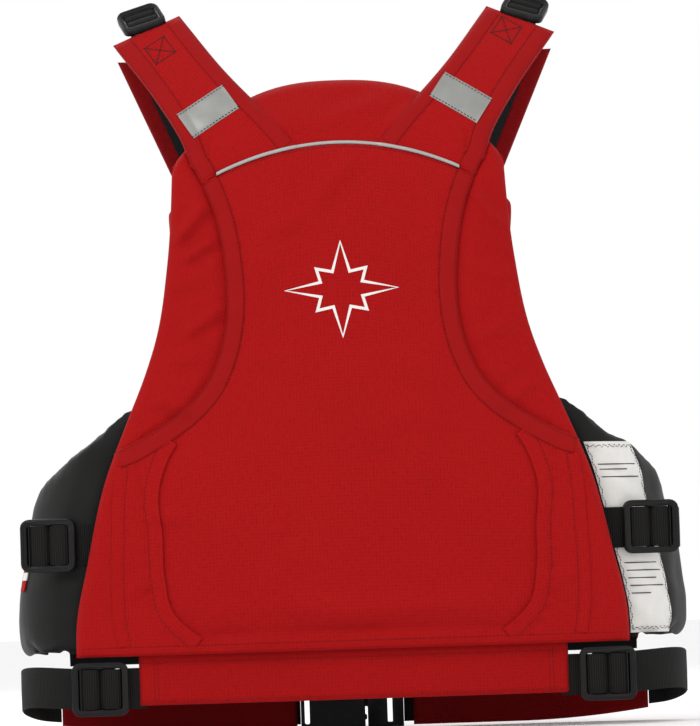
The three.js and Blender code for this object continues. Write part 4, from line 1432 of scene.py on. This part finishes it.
@dataclass
class SidePanel(Part):
    """Black side pad with its webbing and label or tab."""

    side: Side
    thick: float = 19.8 * MM
    webbing: float = 32 * MM
    webbing_thick: float = 1.6 * MM
    middle: float = 153 * MM
    skin: Skin | None = None

    def build(self) -> None:
        """Builds the pad and all that lies on it."""
        word = self.side.word
        body = f"front_{word}"
        pad = self._pad()
        self.skin = Skin(pad)
        settle(pad, body, "black_fabric", f"side_cover_{word}", f"side_foam_{word}")
        settle(self._strip("side_anchor", 0.03, 0.13, 14), body, "black_webbing",
               f"side_anchor_webbing_{word}")
        settle(self._strip("side_strap", 0.335, 0.96, 70), body, "black_webbing",
               f"side_strap_webbing_{word}")
        if self.side is Side.RIGHT:
            self._label()
        else:
            self._tab()

    def _surface(self, s: Array, z: Array, lift: float) -> Array:
        """Places on the pad's real surface, lifted off it; lift is one value or one for each place."""
        s, z, lift = np.broadcast_arrays(s, z, lift)
        plain = self.cut.side_point(self.side, s, z, 0 * z)
        out = self.cut.side_point(self.side, s, z, -MM + 0 * z) - plain
        out /= np.linalg.norm(out, axis=-1, keepdims=True)
        flat, ways = plain.reshape(-1, 3), out.reshape(-1, 3)
        sunk = np.array([self.skin.sunk(place, way) for place, way in zip(flat, ways)]).reshape(lift.shape)
        return plain + out * (lift - sunk)[..., None]

    def _pad(self) -> Piece:
        """Swollen side pad."""
        cut = self.cut
        s, t = np.meshgrid(spread(46), spread(40))
        bottom, inset = 61 * MM, 2.5 * MM
        z = bottom + inset + t * (cut.side_top(s) - bottom - 2 * inset)
        full = crown(np.minimum(s, 1 - s) * 0.2 / (10 * MM), np.minimum(t,
                1 - t) * 0.15 / (12 * MM)) * 0.5
        half = self.thick / 2
        outer = cut.side_point(self.side, s, z, half - half * full)
        inner = cut.side_point(self.side, s, z, half + half * full)
        pad = grid_solid(f"side_pad_{self.side.word}", outer, inner, self.looks.black)
        return self.puff.swell(pad, 1.3 * MM, 41)

    def _strip(self, name: str, start: float, end: float, count: int) -> Piece:
        """Webbing lying on the pad between two shares of the way round."""
        lift = 0.4 * MM + (1.3 * MM if self.side is Side.RIGHT and name == "side_anchor" else 0)
        s = np.linspace(start, end, count)
        rows = [self._surface(s, np.full_like(s, z), lift) for z in self.middle + np.array([-14, -7, 0, 7,
                                                                                            14]) * MM]
        plain = self.cut.side_point(self.side, s, np.full_like(s, self.middle), 0 * s)
        out = self.cut.side_point(self.side, s, np.full_like(s, self.middle), -MM + 0 * s) - plain
        best = np.max([np.sum((row - plain) * out, axis=1) for row in rows], axis=0) / np.sum(out * out,
                                                                                              axis=1)
        best = np.convolve(np.pad(best, 2, mode="edge"), np.ones(5) / 5, mode="valid")
        low = plain + out * best[:, None]
        out[:, 2] = 0
        out /= np.linalg.norm(out, axis=1)[:, None]
        across = np.tile([0.0, 0.0, 1.0], (count, 1))
        return ribbon(f"{name}_web_{self.side.word}", low, out, self.webbing, self.webbing_thick,
                      self.looks.webbing, across)

    def _label(self) -> None:
        """White sewn label with a wavy stitched border and plain bars."""
        s, z = np.meshgrid(np.linspace(0.075, 0.29, 36), np.linspace(70, 221, 40) * MM)
        wave = 0.35 * MM * np.sin(z * TURN / (26 * MM) + s * 40)
        points = [self._surface(s, z, depth * MM + wave) for depth in (1.3, 0.4)]
        label = grid_solid("care_label", points[0], points[1], self.looks.label, 60)
        settle(label, "front_right", "white_label", "sewn_label")
        runs = []
        for s_at in (0.082, 0.281):
            z_run = np.linspace(73, 218, 120) * MM
            runs.append(self._surface(s_at + 0.0035 * np.sin(z_run * TURN / (9 * MM)), z_run, 1.65 * MM))
        for z_at in (73.5, 217.5):
            s_run = np.linspace(0.08, 0.283, 80)
            runs.append(self._surface(s_run, (z_at + 1.0 * np.sin(s_run * 260)) * MM, 1.65 * MM))
        self.sew("label_border", runs, self.looks.black_thread, "front_right", "black_webbing", 2.4 * MM,
                 2.1 * MM, 0.3 * MM)
        bars = []
        for z_at, long in ((203, 1.0), (199, 0.7), (193, 1.0), (125, 0.9), (119, 1.0), (113, 0.8),
                (107, 1.0), (101, 0.5)):
            s_run = np.linspace(0.10, 0.10 + 0.16 * long, 36)
            bars.append(self._surface(s_run, np.full_like(s_run, z_at * MM), 1.5 * MM))
        self.sew("label_bars", bars, self.looks.black_thread, "front_right", "black_webbing", 1.0 * MM,
                 1.6 * MM, 0.45 * MM)

    def _tab(self) -> None:
        """Small red and white tab."""
        s, z = np.meshgrid(np.linspace(0.42, 0.48, 12), np.linspace(118, 134, 14) * MM)
        points = [self._surface(s, z, depth * MM) for depth in (1.3, 0.4)]
        tab = grid_solid("side_tab_cloth", points[0], points[1], self.looks.red, 60)
        tab.data.materials.append(self.looks.label)
        for face in tab.data.polygons:
            if face.center.z > 0.127 and face.center.z < 0.1322:
                face.material_index = 1
        settle(tab, "front_left", "white_label", "side_tab")


@dataclass
class FrontPanel(Part):
    """Front pad, lining, shoulder strap and zip of one side."""

    side: Side
    thick: float = 35.8 * MM

    def build(self) -> None:
        """Builds one half of the front."""
        word = self.side.word
        body = f"front_{word}"
        pad = self._pad()
        settle(pad, body, "red_fabric", f"front_cover_{word}", f"front_foam_{word}")
        settle(self._lining(), body, "mesh_lining", f"front_lining_{word}")
        strap = self._strap()
        settle(strap, body, "dark_red_fabric", f"front_strap_{word}")
        settle(self._strap_mesh(), body, "mesh_lining")
        drape = Drape(Facing.FRONT, pad, strap)
        self._dress(drape, body)
        self._sew(drape, body)
        self._zip(body)

    def _place(self, s: Array, z: Array) -> Array:
        """x between the zip edge and the side edge."""
        inner, outer = self.cut.front_inner(z), self.cut.front_half(z)
        return self.side.sign * (inner + (outer - inner) * s)

    def _pad(self) -> Piece:
        """Swollen front pad."""
        cut = self.cut
        s, t = np.meshgrid(spread(44), spread(76))
        z = (53 + 378 * t) * MM
        x = self._place(0.012 + s * 0.976, z)
        full = crown(np.minimum(s, 1 - s) * 0.17 / (16 * MM), np.minimum(t,
                1 - t) * 0.38 / (14 * MM)) * 0.7
        half = self.thick / 2
        middle = cut.front_y(x, z) - half
        outer = grid(x, middle + half * full, z)
        inner = grid(x, middle - half * full, z)
        pad = grid_solid(f"front_pad_{self.side.word}", outer, inner, self.looks.red_pad)
        return self.puff.swell(pad, 1.1 * MM, 57)

    def _lining(self) -> Piece:
        """Mesh on the wearer's side of the front."""
        cut = self.cut
        s, t = np.meshgrid(spread(36, 0.4), spread(60, 0.4))
        z = (57 + 358 * t) * MM
        x = self._place(0.04 + 0.92 * s, z)
        y = cut.front_y(x, z) - 36.3 * MM - soft_noise(x, z, 0.08, 12) * 0.3 * MM
        y = y + roll(np.minimum(np.minimum(s, 1 - s) * 0.17, np.minimum(t, 1 - t) * 0.37), 5 * MM) * 0.5
        outer, inner = grid(x, y, z), grid(x, y - 1.3 * MM, z)
        return grid_solid(f"front_mesh_{self.side.word}", outer, inner, self.looks.mesh, 60)

    def _strap(self) -> Piece:
        """Padded front strap."""
        cut = self.cut
        s, t = np.meshgrid(spread(34), spread(60, 0.3))
        x, z = self._strap_place(s, t * 1.09 - 0.09)
        full = crown(np.minimum(s, 1 - s) * 0.055 / (7 * MM), (1 - t) * 0.13 / (4 * MM))
        sink = 10 * MM * np.clip((0.07 - (t * 1.09 - 0.09)) / 0.16, 0, 1) ** 1.3
        middle = cut.front_y(x, z) - 4 * MM - sink + soft_noise(x, z, 0.04, 17) * 0.3 * MM
        outer = grid(x, middle + 4 * MM * full, z)
        inner = grid(x, middle - 4 * MM * full, z)
        # The front strap takes the darker copy of the red shell: painted shade on the same red cloth as the back
        # strap.
        return grid_solid(f"front_strap_pad_{self.side.word}", outer, inner, self.looks.dark_red)

    def _strap_place(self, s: Array, t: Array) -> tuple[Array, Array]:
        """x and z of the front strap; t below 0 is tucked into the pad."""
        low = np.maximum(t, 0)
        inner, outer = (76 + 46 * low) * MM, (126 + 48 * low) * MM
        return self.side.sign * (inner + (outer - inner) * s), (430.5 + 109.3 * t) * MM

    def _strap_mesh(self) -> Piece:
        """Mesh facing on the wearer's side of the strap."""
        s, t = np.meshgrid(0.04 + 0.7 * spread(20, 0.3), 0.98 * spread(50, 0.3))
        x, z = self._strap_place(s, t)
        y = self.cut.front_y(x, z) - 8.4 * MM + soft_noise(x, z, 0.04, 17) * 0.3 * MM
        return grid_solid(f"strap_mesh_{self.side.word}", grid(x, y + 1.0 * MM, z),
                          grid(x, y - 0.3 * MM, z), self.looks.mesh, 60)

    def _level(self, start: float, end: float, z_at: float, count: int = 60) -> Line:
        """A level line between two shares of the panel's width."""
        return [(float(self._place(np.array(k), np.array(z_at))), z_at) for k in np.linspace(start, end,
                                                                                             count)]

    def _edge(self, inner: bool, inset: float, low: float, high: float) -> Line:
        """A line along the neck or the armhole, inset from the edge."""
        cut = self.cut
        line = []
        for z in np.linspace(low, high, 60):
            x = cut.front_inner(z) + inset if inner else cut.front_half(z) - inset
            line.append((self.side.sign * float(x), float(z)))
        return line

    def _dress(self, drape: Drape, body: str) -> None:
        """Bindings at the neck and the armhole, and the chest pocket with its zip and pull tape."""
        word, looks = self.side.word, self.looks
        for name, path in (("neck", self._edge(True, 14 * MM, 0.335, 0.400)), ("armhole", self._edge(False,
                17 * MM, 0.190, 0.410))):
            settle(drape.strip(f"front_{name}_binding_{word}", path, 12 * MM, 0.9 * MM, looks.binding),
                   body, "red_fabric")
        pocket = drape.strip(f"front_pocket_{word}", [(x, 0.167) for x, _ in self._level(0.14, 0.68, 0.167,
                                                                                         50)],
                             138 * MM, 2.2 * MM, looks.red_pad)
        settle(pocket, body, "red_fabric")
        top = Drape(Facing.FRONT, pocket)
        line = [(x, 0.222) for x, _ in self._level(0.20, 0.70, 0.222, 50)]
        tape = top.strip(f"pocket_zip_tape_{word}", line, 15 * MM, 0.8 * MM, looks.tape)
        settle(tape, body, "black_fabric")
        self.sew(f"pocket_zip_teeth_{word}", [Drape(Facing.FRONT, tape).lay(line, 0.3 * MM)],
                 looks.plastic, body, "black_plastic", 2.3 * MM, 1.4 * MM, 1.2 * MM)
        pull = [(line[3][0], 0.222 - k * MM) for k in np.linspace(-3, 24, 16)]
        settle(Drape(Facing.FRONT, pocket, tape).strip(f"pocket_pull_{word}", pull, 7 * MM, 2.0 * MM,
                                                       looks.webbing),
               body, "black_webbing")
        rows = [top.lay([(x, z_at) for x, _ in line]) for z_at in (0.2315, 0.2125)]
        frame = [(line[0][0] - self.side.sign * 3 * MM, z) for z in np.linspace(0.23, 0.102, 60)]
        far = [(line[-1][0] + self.side.sign * 3 * MM, z) for z in np.linspace(0.102, 0.23, 60)]
        base = [(float(x), 0.102) for x in np.linspace(frame[-1][0], far[0][0], 60)]
        rows += [top.lay(run) for run in (frame, base, far)]
        self.sew(f"pocket_stitches_{word}", rows, looks.red_thread, body, "dark_red_fabric")

    def _sew(self, drape: Drape, body: str) -> None:
        """Sews the front's seams and its bindings."""
        cut, looks = self.cut, self.looks
        sign = self.side.sign
        zs = np.linspace(0.072, 0.415, 90)
        zip_edge = [(sign * float(cut.front_inner(z) + 20 * MM), float(z)) for z in zs]
        arm = [(sign * float(cut.front_half(z) - 24 * MM), float(z)) for z in np.linspace(0.19, 0.410, 60)]
        runs = [drape.lay(zip_edge, 0.2 * MM), drape.lay(arm)]
        for z_at in (0.072, 0.312, 0.317):
            row = [(float(self._place(np.array(k), np.array(z_at))), z_at) for k in np.linspace(0.08, 0.92,
                                                                                                70)]
            runs.append(drape.lay(row))
        for share in (0.2, 0.8):
            row = []
            for t in np.linspace(0.05, 0.96, 40):
                low, high = 76 + 46 * t, 126 + 48 * t
                row.append((sign * (low + (high - low) * share) * MM, (430.5 + 109.3 * t) * MM))
            runs.append(drape.lay(row))
        self.sew(f"front_stitches_{self.side.word}", runs, looks.red_thread, body, "dark_red_fabric")

    def _zip(self, body: str) -> None:
        """Zip tape, and teeth from one repeated bead."""
        word, sign = self.side.word, self.side.sign
        low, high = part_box(f"zip_tape_{word}")
        s, t = np.meshgrid(np.linspace(0, 1, 5), np.linspace(0, 1, 90))
        tuck = 9 * MM
        start, end = (low[0], high[0] + tuck) if sign > 0 else (low[0] - tuck, high[0])
        x, z = start + s * (end - start), low[2] + t * (high[2] - low[2])
        y = (low[1] + high[1]) / 2 + 0.12 * MM * np.sin(z * 300)
        tape = grid_solid(f"zip_cloth_{word}", grid(x, y + 0.4 * MM, z),
                          grid(x, y - 0.4 * MM, z), self.looks.tape, 50)
        settle(tape, body, "black_fabric", f"zip_tape_{word}")
        low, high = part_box(f"zip_chain_{word}")
        mid_y = (low[1] + high[1]) / 2
        inner, outer = (low[0], high[0]) if sign > 0 else (high[0], low[0])
        run = [np.array([((inner + outer) / 2, mid_y, z) for z in np.linspace(low[2] + MM, high[2] - MM,
                                                                              40)])]
        teeth = self.sewing.sew(f"zip_teeth_{word}", run, self.looks.plastic, 2.5 * MM, 1.5 * MM, 1.42 * MM)
        cord = ribbon(f"zip_cord_{word}", np.array([(outer - sign * 0.9 * MM, mid_y - 0.5 * MM, z)
                      for z in np.linspace(low[2], high[2], 20)]), np.tile([0.0, 1.0, 0.0],
                              (20, 1)), 1.6 * MM, 1.0 * MM,
                      self.looks.tape, np.tile([1.0, 0.0, 0.0], (20, 1)))
        settle(teeth, body, "black_plastic", f"zip_chain_{word}")
        settle(cord, body, "black_fabric")


@dataclass
class WaistBelt(Part):
    """Back band, front sleeves, and webbing round the sides and at the side-release buckle."""

    webbing: float = 32 * MM
    thick: float = 1.6 * MM

    def build(self) -> None:
        """Builds the belt."""
        cut, looks = self.cut, self.looks
        shift = cut.shift
        band = self._band()
        settle(band, "back", "red_fabric", "back_waistband")
        drape = Drape(Facing.BACK, band)
        runs = [drape.lay([(float(x), z) for x in np.linspace(-0.165, 0.165, 120)],
                          0.15 * MM) for z in (0.0285, 0.058)]
        for sign in (-1, 1):
            for x in (153, 156):
                runs.append(drape.lay([(sign * x * MM, float(z)) for z in np.linspace(0.030, 0.060, 16)],
                                      0.15 * MM))
        self.sew("band_stitches", runs, looks.red_thread, "back", "red_fabric")
        for side in Side:
            body = "back" if side is Side.LEFT else "belt_right"
            sleeve = self._sleeve(side)
            settle(sleeve, body, "dark_red_fabric", f"belt_sleeve_{side.word}")
            front = Drape(Facing.FRONT, sleeve)
            rows = []
            for z_off in (-15, 15):
                rows.append(front.lay([(side.sign * float(x), self._sleeve_z(float(x)) + z_off * MM)
                                       for x in np.linspace(0.051, 0.232, 70)], 0.15 * MM))
            rows.append(front.lay([(side.sign * 0.053, 0.02 + k * MM) for k in np.linspace(-15, 15, 14)],
                                  0.15 * MM))
            self.sew(f"sleeve_stitches_{side.word}", rows, looks.red_thread, body, "dark_red_fabric")
            self._webs(side, body, shift)

    def _band(self) -> Piece:
        """Red sleeve along the back hem."""
        cut = self.cut
        s, t = np.meshgrid(2 * spread(110, 0.4) - 1, spread(26, 0.5))
        x, z = s * 0.168, (25.2 + t * 42.5) * MM
        sag = 0.4 * MM * soft_noise(x, z, 0.05, 23)
        base = cut.back_y(x, np.full_like(z, 0.064), False) + 10 * MM
        full = crown((1 - np.abs(s)) * 0.168 / (3 * MM), np.minimum(t, 1 - t) * 0.038 / (5 * MM))
        outer = grid(x, base + 2.5 * MM - (2.5 * MM + sag) * full, z)
        inner = grid(x, base + 2.5 * MM + 2.4 * MM * full, z)
        return grid_solid("waistband_sleeve", outer, inner, self.looks.red)

    @staticmethod
    def _sleeve_z(x: float) -> float:
        """Middle height of a front sleeve."""
        out = max(0.0, x - 0.13) / 0.106
        return 0.02 + 8 * MM * out**2

    def _sleeve(self, side: Side) -> Piece:
        """Sleeve round the front webbing, in the darker copy of the red shell: painted shade on the same red
        cloth.
        """
        s, t = np.meshgrid(spread(70, 0.4), spread(24, 0.5))
        x = 0.047 + s * 0.189
        out = np.maximum(0, x - 0.13) / 0.106
        z = 0.02 + (t - 0.5) * 37.6 * MM + 8 * MM * out**2
        middle = 0.08 + self.cut.shift - 14 * MM * out**2 - 3.5 * MM
        full = crown(np.minimum(s, 1 - s) * 0.19 / (3 * MM), np.minimum(t, 1 - t) * 0.038 / (6 * MM))
        thick = 3.5 * MM * (0.35 + 0.65 * full) + 0.35 * MM * soft_noise(x, z, 0.04, 29) * full
        x = side.sign * x
        return grid_solid(f"belt_sleeve_cloth_{side.word}", grid(x, middle + thick, z),
                          grid(x, middle - thick, z), self.looks.dark_red, 60)

    def _webs(self, side: Side, body: str, shift: float) -> None:
        """Webbing at the anchor, round the side and at the buckle."""
        looks = self.looks
        low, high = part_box(f"belt_anchor_webbing_{side.word}")
        ends = sorted((low[0], high[0]), key=abs)
        upright = lambda n: np.tile([0.0, 0.0, 1.0], (n, 1))
        path = np.array([(x, high[1], 0.039) for x in np.linspace(ends[0] - side.sign * 6 * MM, ends[1], 12)])
        settle(ribbon(f"belt_anchor_{side.word}", path, np.tile([0.0, -1.0, 0.0], (12, 1)), self.webbing,
                      self.thick, looks.webbing, upright(12)), "back", "black_webbing",
               f"belt_anchor_webbing_{side.word}")
        anchor_y = low[1]
        stations = [(186.5, None, 1), (200, None, 1), (216.5, None, 6), (250, -38, 0), (263, 0, 0), (258,
                                                                                                     38, 0),
                    (245, 60.5, 0), (236.6, 62.5, 0)]
        plan = []
        for x, y, off in stations:
            plan.append((x * MM, anchor_y + off * MM if y is None else y * MM + shift))
        line = np.array(rounded(plan, 4 * MM))
        reach = np.linspace(0, 1, len(line))
        z = 0.039 + (0.028 - 0.039) * reach**1.5 + 6 * MM * np.sin(math.pi * reach) ** 2
        path = np.stack([side.sign * line[:, 0], line[:, 1], z], axis=1)
        along = np.gradient(path, axis=0)
        out = np.stack([along[:, 1], -along[:, 0], 0 * z], axis=1) * side.sign
        out /= np.linalg.norm(out, axis=1)[:, None]
        settle(ribbon(f"belt_side_{side.word}", path, out, self.webbing, self.thick, looks.webbing,
                      upright(len(path))), body, "black_webbing", f"belt_webbing_{side.word}")
        low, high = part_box(f"belt_buckle_webbing_{side.word}")
        path = np.array([(x, low[1], 0.02) for x in np.linspace(low[0], high[0], 20)])
        settle(ribbon(f"buckle_web_{side.word}", path, np.tile([0.0, 1.0, 0.0], (20, 1)), self.webbing,
                      self.thick,
                      looks.webbing, upright(20)), body, "black_webbing", f"belt_buckle_webbing_{side.word}")


@dataclass(frozen=True)
class Seat:
    """Where a ladder-lock lies: its anchor bar, the way it runs and the way it faces."""

    origin: tuple[float, float, float]
    along: tuple[float, float, float]
    across: tuple[float, float, float]
    out: tuple[float, float, float]

    def world(self, local: Array) -> Array:
        """Turns places along, across and out of the lock into places on the jacket."""
        return np.array(self.origin) + local @ np.array([self.along, self.across, self.out])


@dataclass
class LadderLock(Part):
    """Moulded ladder-lock with a thumb lip, and the webbing laced over its middle bar."""

    node: str
    seat: Seat
    webbing: float
    long: float = 44 * MM
    rim: float = 5 * MM
    bar: float = 4 * MM
    thick: float = 6.4 * MM
    lip: float = 3.2 * MM

    def build(self) -> None:
        """Builds the lock on its own body."""
        moulding = self._moulding()
        settle(moulding, self.node, "black_plastic", self.node)
        middle = self.long / 2 - self.rim / 2
        for start, end, word in ((self.rim / 2 + 0.6 * MM, middle - 0.8 * MM, "anchor_loop"),
                                 (middle + 0.8 * MM, self.long - 1.5 * self.rim - 0.6 * MM, "lacing")):
            settle(self._laced(start, end, word), self.node, "black_webbing")

    def _spline(self, curve: bpy.types.Curve, low: tuple[float, float], high: tuple[float, float],
                radius: float) -> None:
        """Adds a closed outline with rounded corners."""
        corners = ((high[0], high[1], 0), (low[0], high[1], 90), (low[0], low[1], 180), (high[0], low[1],
                                                                                         270))
        places = []
        for x, y, start in corners:
            centre = (x - radius * (1 if x == high[0] else -1), y - radius * (1 if y == high[1] else -1))
            for k in range(5):
                angle = math.radians(start + 22.5 * k)
                places.append((centre[0] + radius * math.cos(angle), centre[1] + radius * math.sin(angle)))
        spline = curve.splines.new("POLY")
        spline.points.add(len(places) - 1)
        for point, (x, y) in zip(spline.points, places):
            point.co = (x, y, 0, 1)
        spline.use_cyclic_u = True

    def _moulding(self) -> Piece:
        """Frame with two slots, a sunken middle bar and a curved lip with grip ridges."""
        half, middle = self.webbing / 2, self.long / 2 - self.rim / 2
        curve = bpy.data.curves.new("lock_outline", "CURVE")
        curve.dimensions, curve.fill_mode = "2D", "BOTH"
        bevel = 1.1 * MM
        curve.extrude, curve.bevel_depth, curve.bevel_resolution, curve.offset = (
            self.thick / 2 - bevel, bevel, 2, -bevel)
        self._spline(curve, (-self.rim / 2, -half - self.rim), (self.long - self.rim / 2, half + self.rim),
                     6.5 * MM)
        self._spline(curve, (self.rim / 2, -half), (middle - self.bar / 2, half), 2.4 * MM)
        self._spline(curve, (middle + self.bar / 2, -half), (self.long - 1.5 * self.rim, half), 2.4 * MM)
        holder = in_scene("lock_outline", curve)
        mesh = final_mesh(holder)
        bpy.data.objects.remove(holder)
        local = np.array([tuple(vertex.co) for vertex in mesh.vertices])
        faces = [list(face.vertices) for face in mesh.polygons]
        along = local[:, 0]
        bend = np.clip((along - (self.long - 11 * MM)) / (9 * MM), 0, 1)
        inside = np.abs(local[:, 1]) < half
        sunken = (np.abs(along - middle) < self.bar) & inside
        local[:, 2] += self.thick / 2 + self.lip * bend**1.8 - np.where(sunken & (local[:, 2] > 0),
                                                                        4.4 * MM, 0)
        heel = np.clip((3 * MM - along) / (5 * MM), 0, 1) * (local[:, 2] > self.thick / 2)
        local[:, 2] -= 1.2 * MM * heel
        parts, numbers = [local], faces
        for k in range(3):
            start = sum(len(part) for part in parts)
            ridge, ridge_faces = self._ridge(self.long - (9.2 - 2.3 * k) * MM, half + self.rim - 4 * MM)
            parts.append(ridge)
            numbers = numbers + [[start + v for v in face] for face in ridge_faces]
        return build(f"{self.node}_moulding", self.seat.world(np.concatenate(parts)), numbers,
                     self.looks.plastic, None, 42)

    def _ridge(self, along: float, half: float) -> tuple[Array, list]:
        """One grip ridge across the lip."""
        bend = min(1.0, max(0.0, (along - (self.long - 11 * MM)) / (9 * MM)))
        top = self.thick + self.lip * bend**1.8
        ring = [(0.55 * MM * math.cos(a), 0.55 * MM * math.sin(a)) for a in np.linspace(0, TURN, 8,
                                                                                        endpoint=False)]
        points = [(along + u, v, top + w) for v in (-half, half) for u, w in ring]
        return np.array(points), tube_faces(2, len(ring))

    def _laced(self, start: float, end: float, word: str) -> Piece:
        """One hump of webbing that comes up through the lock, over a bar and down again."""
        shape = ((0.0, 0.3), (0.06, 2.6), (0.2, 4.6), (0.5, 5.3), (0.8, 4.6), (0.94, 2.6), (1.0, 0.3))
        line = np.array(rounded([(start + (end - start) * k, w * MM) for k, w in shape], 0.8 * MM))
        along = headings(line)
        flat = np.zeros(len(line))
        path = self.seat.world(np.stack([line[:, 0], flat, line[:, 1]], axis=1))
        out = np.stack([-along[:, 1], flat, along[:, 0]], axis=1) @ np.array(
            [self.seat.along, self.seat.across, self.seat.out])
        across = np.tile(self.seat.across, (len(line), 1))
        return ribbon(f"{self.node}_{word}", path, out, self.webbing - 0.8 * MM, 1.5 * MM,
                      self.looks.webbing, across)


@dataclass
class Hardware(Part):
    """Every ladder-lock, the waist buckle and the zip's moving parts."""

    side_turn: float = math.radians(16)
    crest_rise: float = math.radians(27)
    crest_yaw: float = math.radians(14)

    def build(self) -> None:
        """Builds the plastic pieces."""
        for side in Side:
            sign, turn = side.sign, self.side_turn
            node = f"side_buckle_{side.word}"
            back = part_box(node)[1][1] - 41.5 * MM * math.sin(turn)
            seat = Seat((sign * 0.217, back, 0.153), (sign * math.cos(turn), math.sin(turn), 0), (0, 0, 1),
                        (sign * math.sin(turn), -math.cos(turn), 0))
            LadderLock(self.jacket, node, seat, 32 * MM).build()
            node = f"belt_ladder_lock_{side.word}"
            seat = Seat((sign * 0.179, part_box(node)[1][1], 0.039), (sign, 0, 0), (0, 0, 1), (0, -1, 0))
            LadderLock(self.jacket, node, seat, 32 * MM).build()
            node = f"shoulder_adjuster_{side.word}"
            seat = self._crest_seat(node, sign)
            LadderLock(self.jacket, node, seat, 25 * MM, 34 * MM).build()
        self._piece("belt_buckle_female", "back", 1.3 * MM)
        self._piece("belt_buckle_male", "belt_right", 1.0 * MM)
        self._piece("belt_buckle_arm_upper", "latch_arm_upper", 1.2 * MM)
        self._piece("belt_buckle_arm_lower", "latch_arm_lower", 1.2 * MM)
        self._piece("zip_slider", "zip_slider", 0.7 * MM)
        self._piece("zip_pull", "zip_pull", 0.6 * MM)

    def _crest_seat(self, node: str, sign: float) -> Seat:
        """Seat of a shoulder adjuster: at the strap's end, in line with the strap."""
        low, rise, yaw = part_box(node)[0], self.crest_rise, self.crest_yaw
        along = Vector((sign * math.sin(yaw), math.cos(rise) * math.cos(yaw), math.sin(rise) * math.cos(yaw)))
        across = Vector((math.cos(yaw), 0, -sign * math.sin(yaw)))
        across = (across - along * across.dot(along)).normalized()
        out = across.cross(along).normalized()
        origin = (sign * 0.149, low[1] + 2.4 * MM, low[2] + 1.5 * MM)
        return Seat(origin, tuple(along), tuple(across), tuple(out))

    def _piece(self, node: str, body: str, radius: float) -> None:
        """Rounds one frame node."""
        settle(softened(node, radius, self.looks.plastic, f"{node}_moulding"), body, "black_plastic", node)


@dataclass
class ShoulderLoop(Part):
    """Webbing that joins a back strap to a front strap."""

    side: Side
    width: float = 25 * MM

    def build(self) -> None:
        """Builds the loop, curved over the shoulder from the back to the front half."""
        low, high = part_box(f"shoulder_webbing_{self.side.word}")
        mid_x = (low[0] + high[0]) / 2
        shift = self.cut.shift
        stations = [(-27.0, 541.0), (-17.0, 551.5), (-5.0, 557.2), (8.0, 560.4), (15.5, 557.6),
                (21.0, 550.5), (24.6, 541.5), (26.0, 532.0)]
        line = np.array(rounded([(y * MM + shift, z * MM) for y, z in stations], 1.5 * MM))
        path = np.stack([np.full(len(line), mid_x), line[:, 0], line[:, 1]], axis=1)
        along = np.gradient(path, axis=0)
        out = np.stack([0 * along[:, 0], -along[:, 2], along[:, 1]], axis=1)
        out /= np.linalg.norm(out, axis=1)[:, None]
        across = np.tile([1.0, 0.0, 0.0], (len(path), 1))
        loop = ribbon(f"shoulder_loop_{self.side.word}", path, out, self.width, 1.6 * MM,
                      self.looks.webbing, across)
        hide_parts(f"shoulder_webbing_{self.side.word}")
        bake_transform(loop)


class Studio:
    """Floor, lights and camera."""

    def build(self) -> None:
        """Sets up a plain studio."""
        self._floor()
        self._light("key", (-1.5, -1.9, 2.2), 1.2, 25)
        self._light("fill", (2.1, -2.2, 0.9), 2.0, 9)
        self._light("front", (-1.1, 2.5, 1.9), 1.8, 26)
        world = bpy.data.worlds.new("studio")
        world.use_nodes = True
        world.node_tree.nodes["Background"].inputs[0].default_value = (1, 1, 1, 1)
        world.node_tree.nodes["Background"].inputs[1].default_value = 1.0
        bpy.context.scene.world = world
        bpy.context.scene.view_settings.view_transform = "Standard"
        self._camera()

    @staticmethod
    def _floor() -> None:
        """Pale floor under the jacket."""
        mesh = bpy.data.meshes.new("floor")
        mesh.from_pydata([(-40, -40, -0.001), (40, -40, -0.001), (40, 40, -0.001), (-40, 40, -0.001)], [],
                         [[0, 1, 2, 3]])
        graph = Graph("floor_paint")
        x, y, z = graph.axes("Object")
        tone = graph.noise(graph.place(x, y, z), 3.0, 2.0)
        mesh.materials.append(graph.finish(graph.blend(tone, (0.90, 0.90, 0.90), (0.93, 0.93, 0.93)), 0.9))
        floor = in_scene("floor", mesh)

    @staticmethod
    def _light(name: str, at: tuple[float, float, float], size: float, power: float) -> None:
        """A square soft light that looks at the jacket."""
        lamp = bpy.data.lights.new(name, "AREA")
        lamp.size, lamp.energy = size, power
        obj = bpy.data.objects.new(name, lamp)
        obj.location = at
        obj.rotation_euler = (Vector((0, 0, 0.29)) - Vector(at)).to_track_quat("-Z", "Y").to_euler()
        bpy.context.scene.collection.objects.link(obj)

    @staticmethod
    def _camera() -> None:
        """Long lens square to the back, slightly rolled."""
        lens = bpy.data.cameras.new("camera")
        lens.lens, lens.sensor_fit, lens.sensor_width = 280, "AUTO", 36
        obj = bpy.data.objects.new("camera", lens)
        target, rise, distance = Vector((0.0047, -0.0975, 0.2872)), math.radians(-2.6), 4.405
        at = target + distance * Vector((0, -math.cos(rise), math.sin(rise)))
        aim = (target - at).to_track_quat("-Z", "Y").to_matrix().to_4x4()
        obj.matrix_world = Matrix.Translation(at) @ aim @ Matrix.Rotation(math.radians(-1.85), 4, "Z")
        bpy.context.scene.collection.objects.link(obj)
        bpy.context.scene.camera = obj


def main() -> None:
    """Builds the jacket in order."""
    logging.basicConfig(level=logging.INFO, format="%(name)s: %(message)s")
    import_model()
    jacket = Jacket(Pattern(), Finishes(), StitchTree())
    Studio().build()
    BackPanel(jacket).build()
    for side in Side:
        SidePanel(jacket, side).build()
        FrontPanel(jacket, side).build()
        ShoulderLoop(jacket, side).build()
    WaistBelt(jacket).build()
    Hardware(jacket).build()


if __name__ == "__main__":
    main()
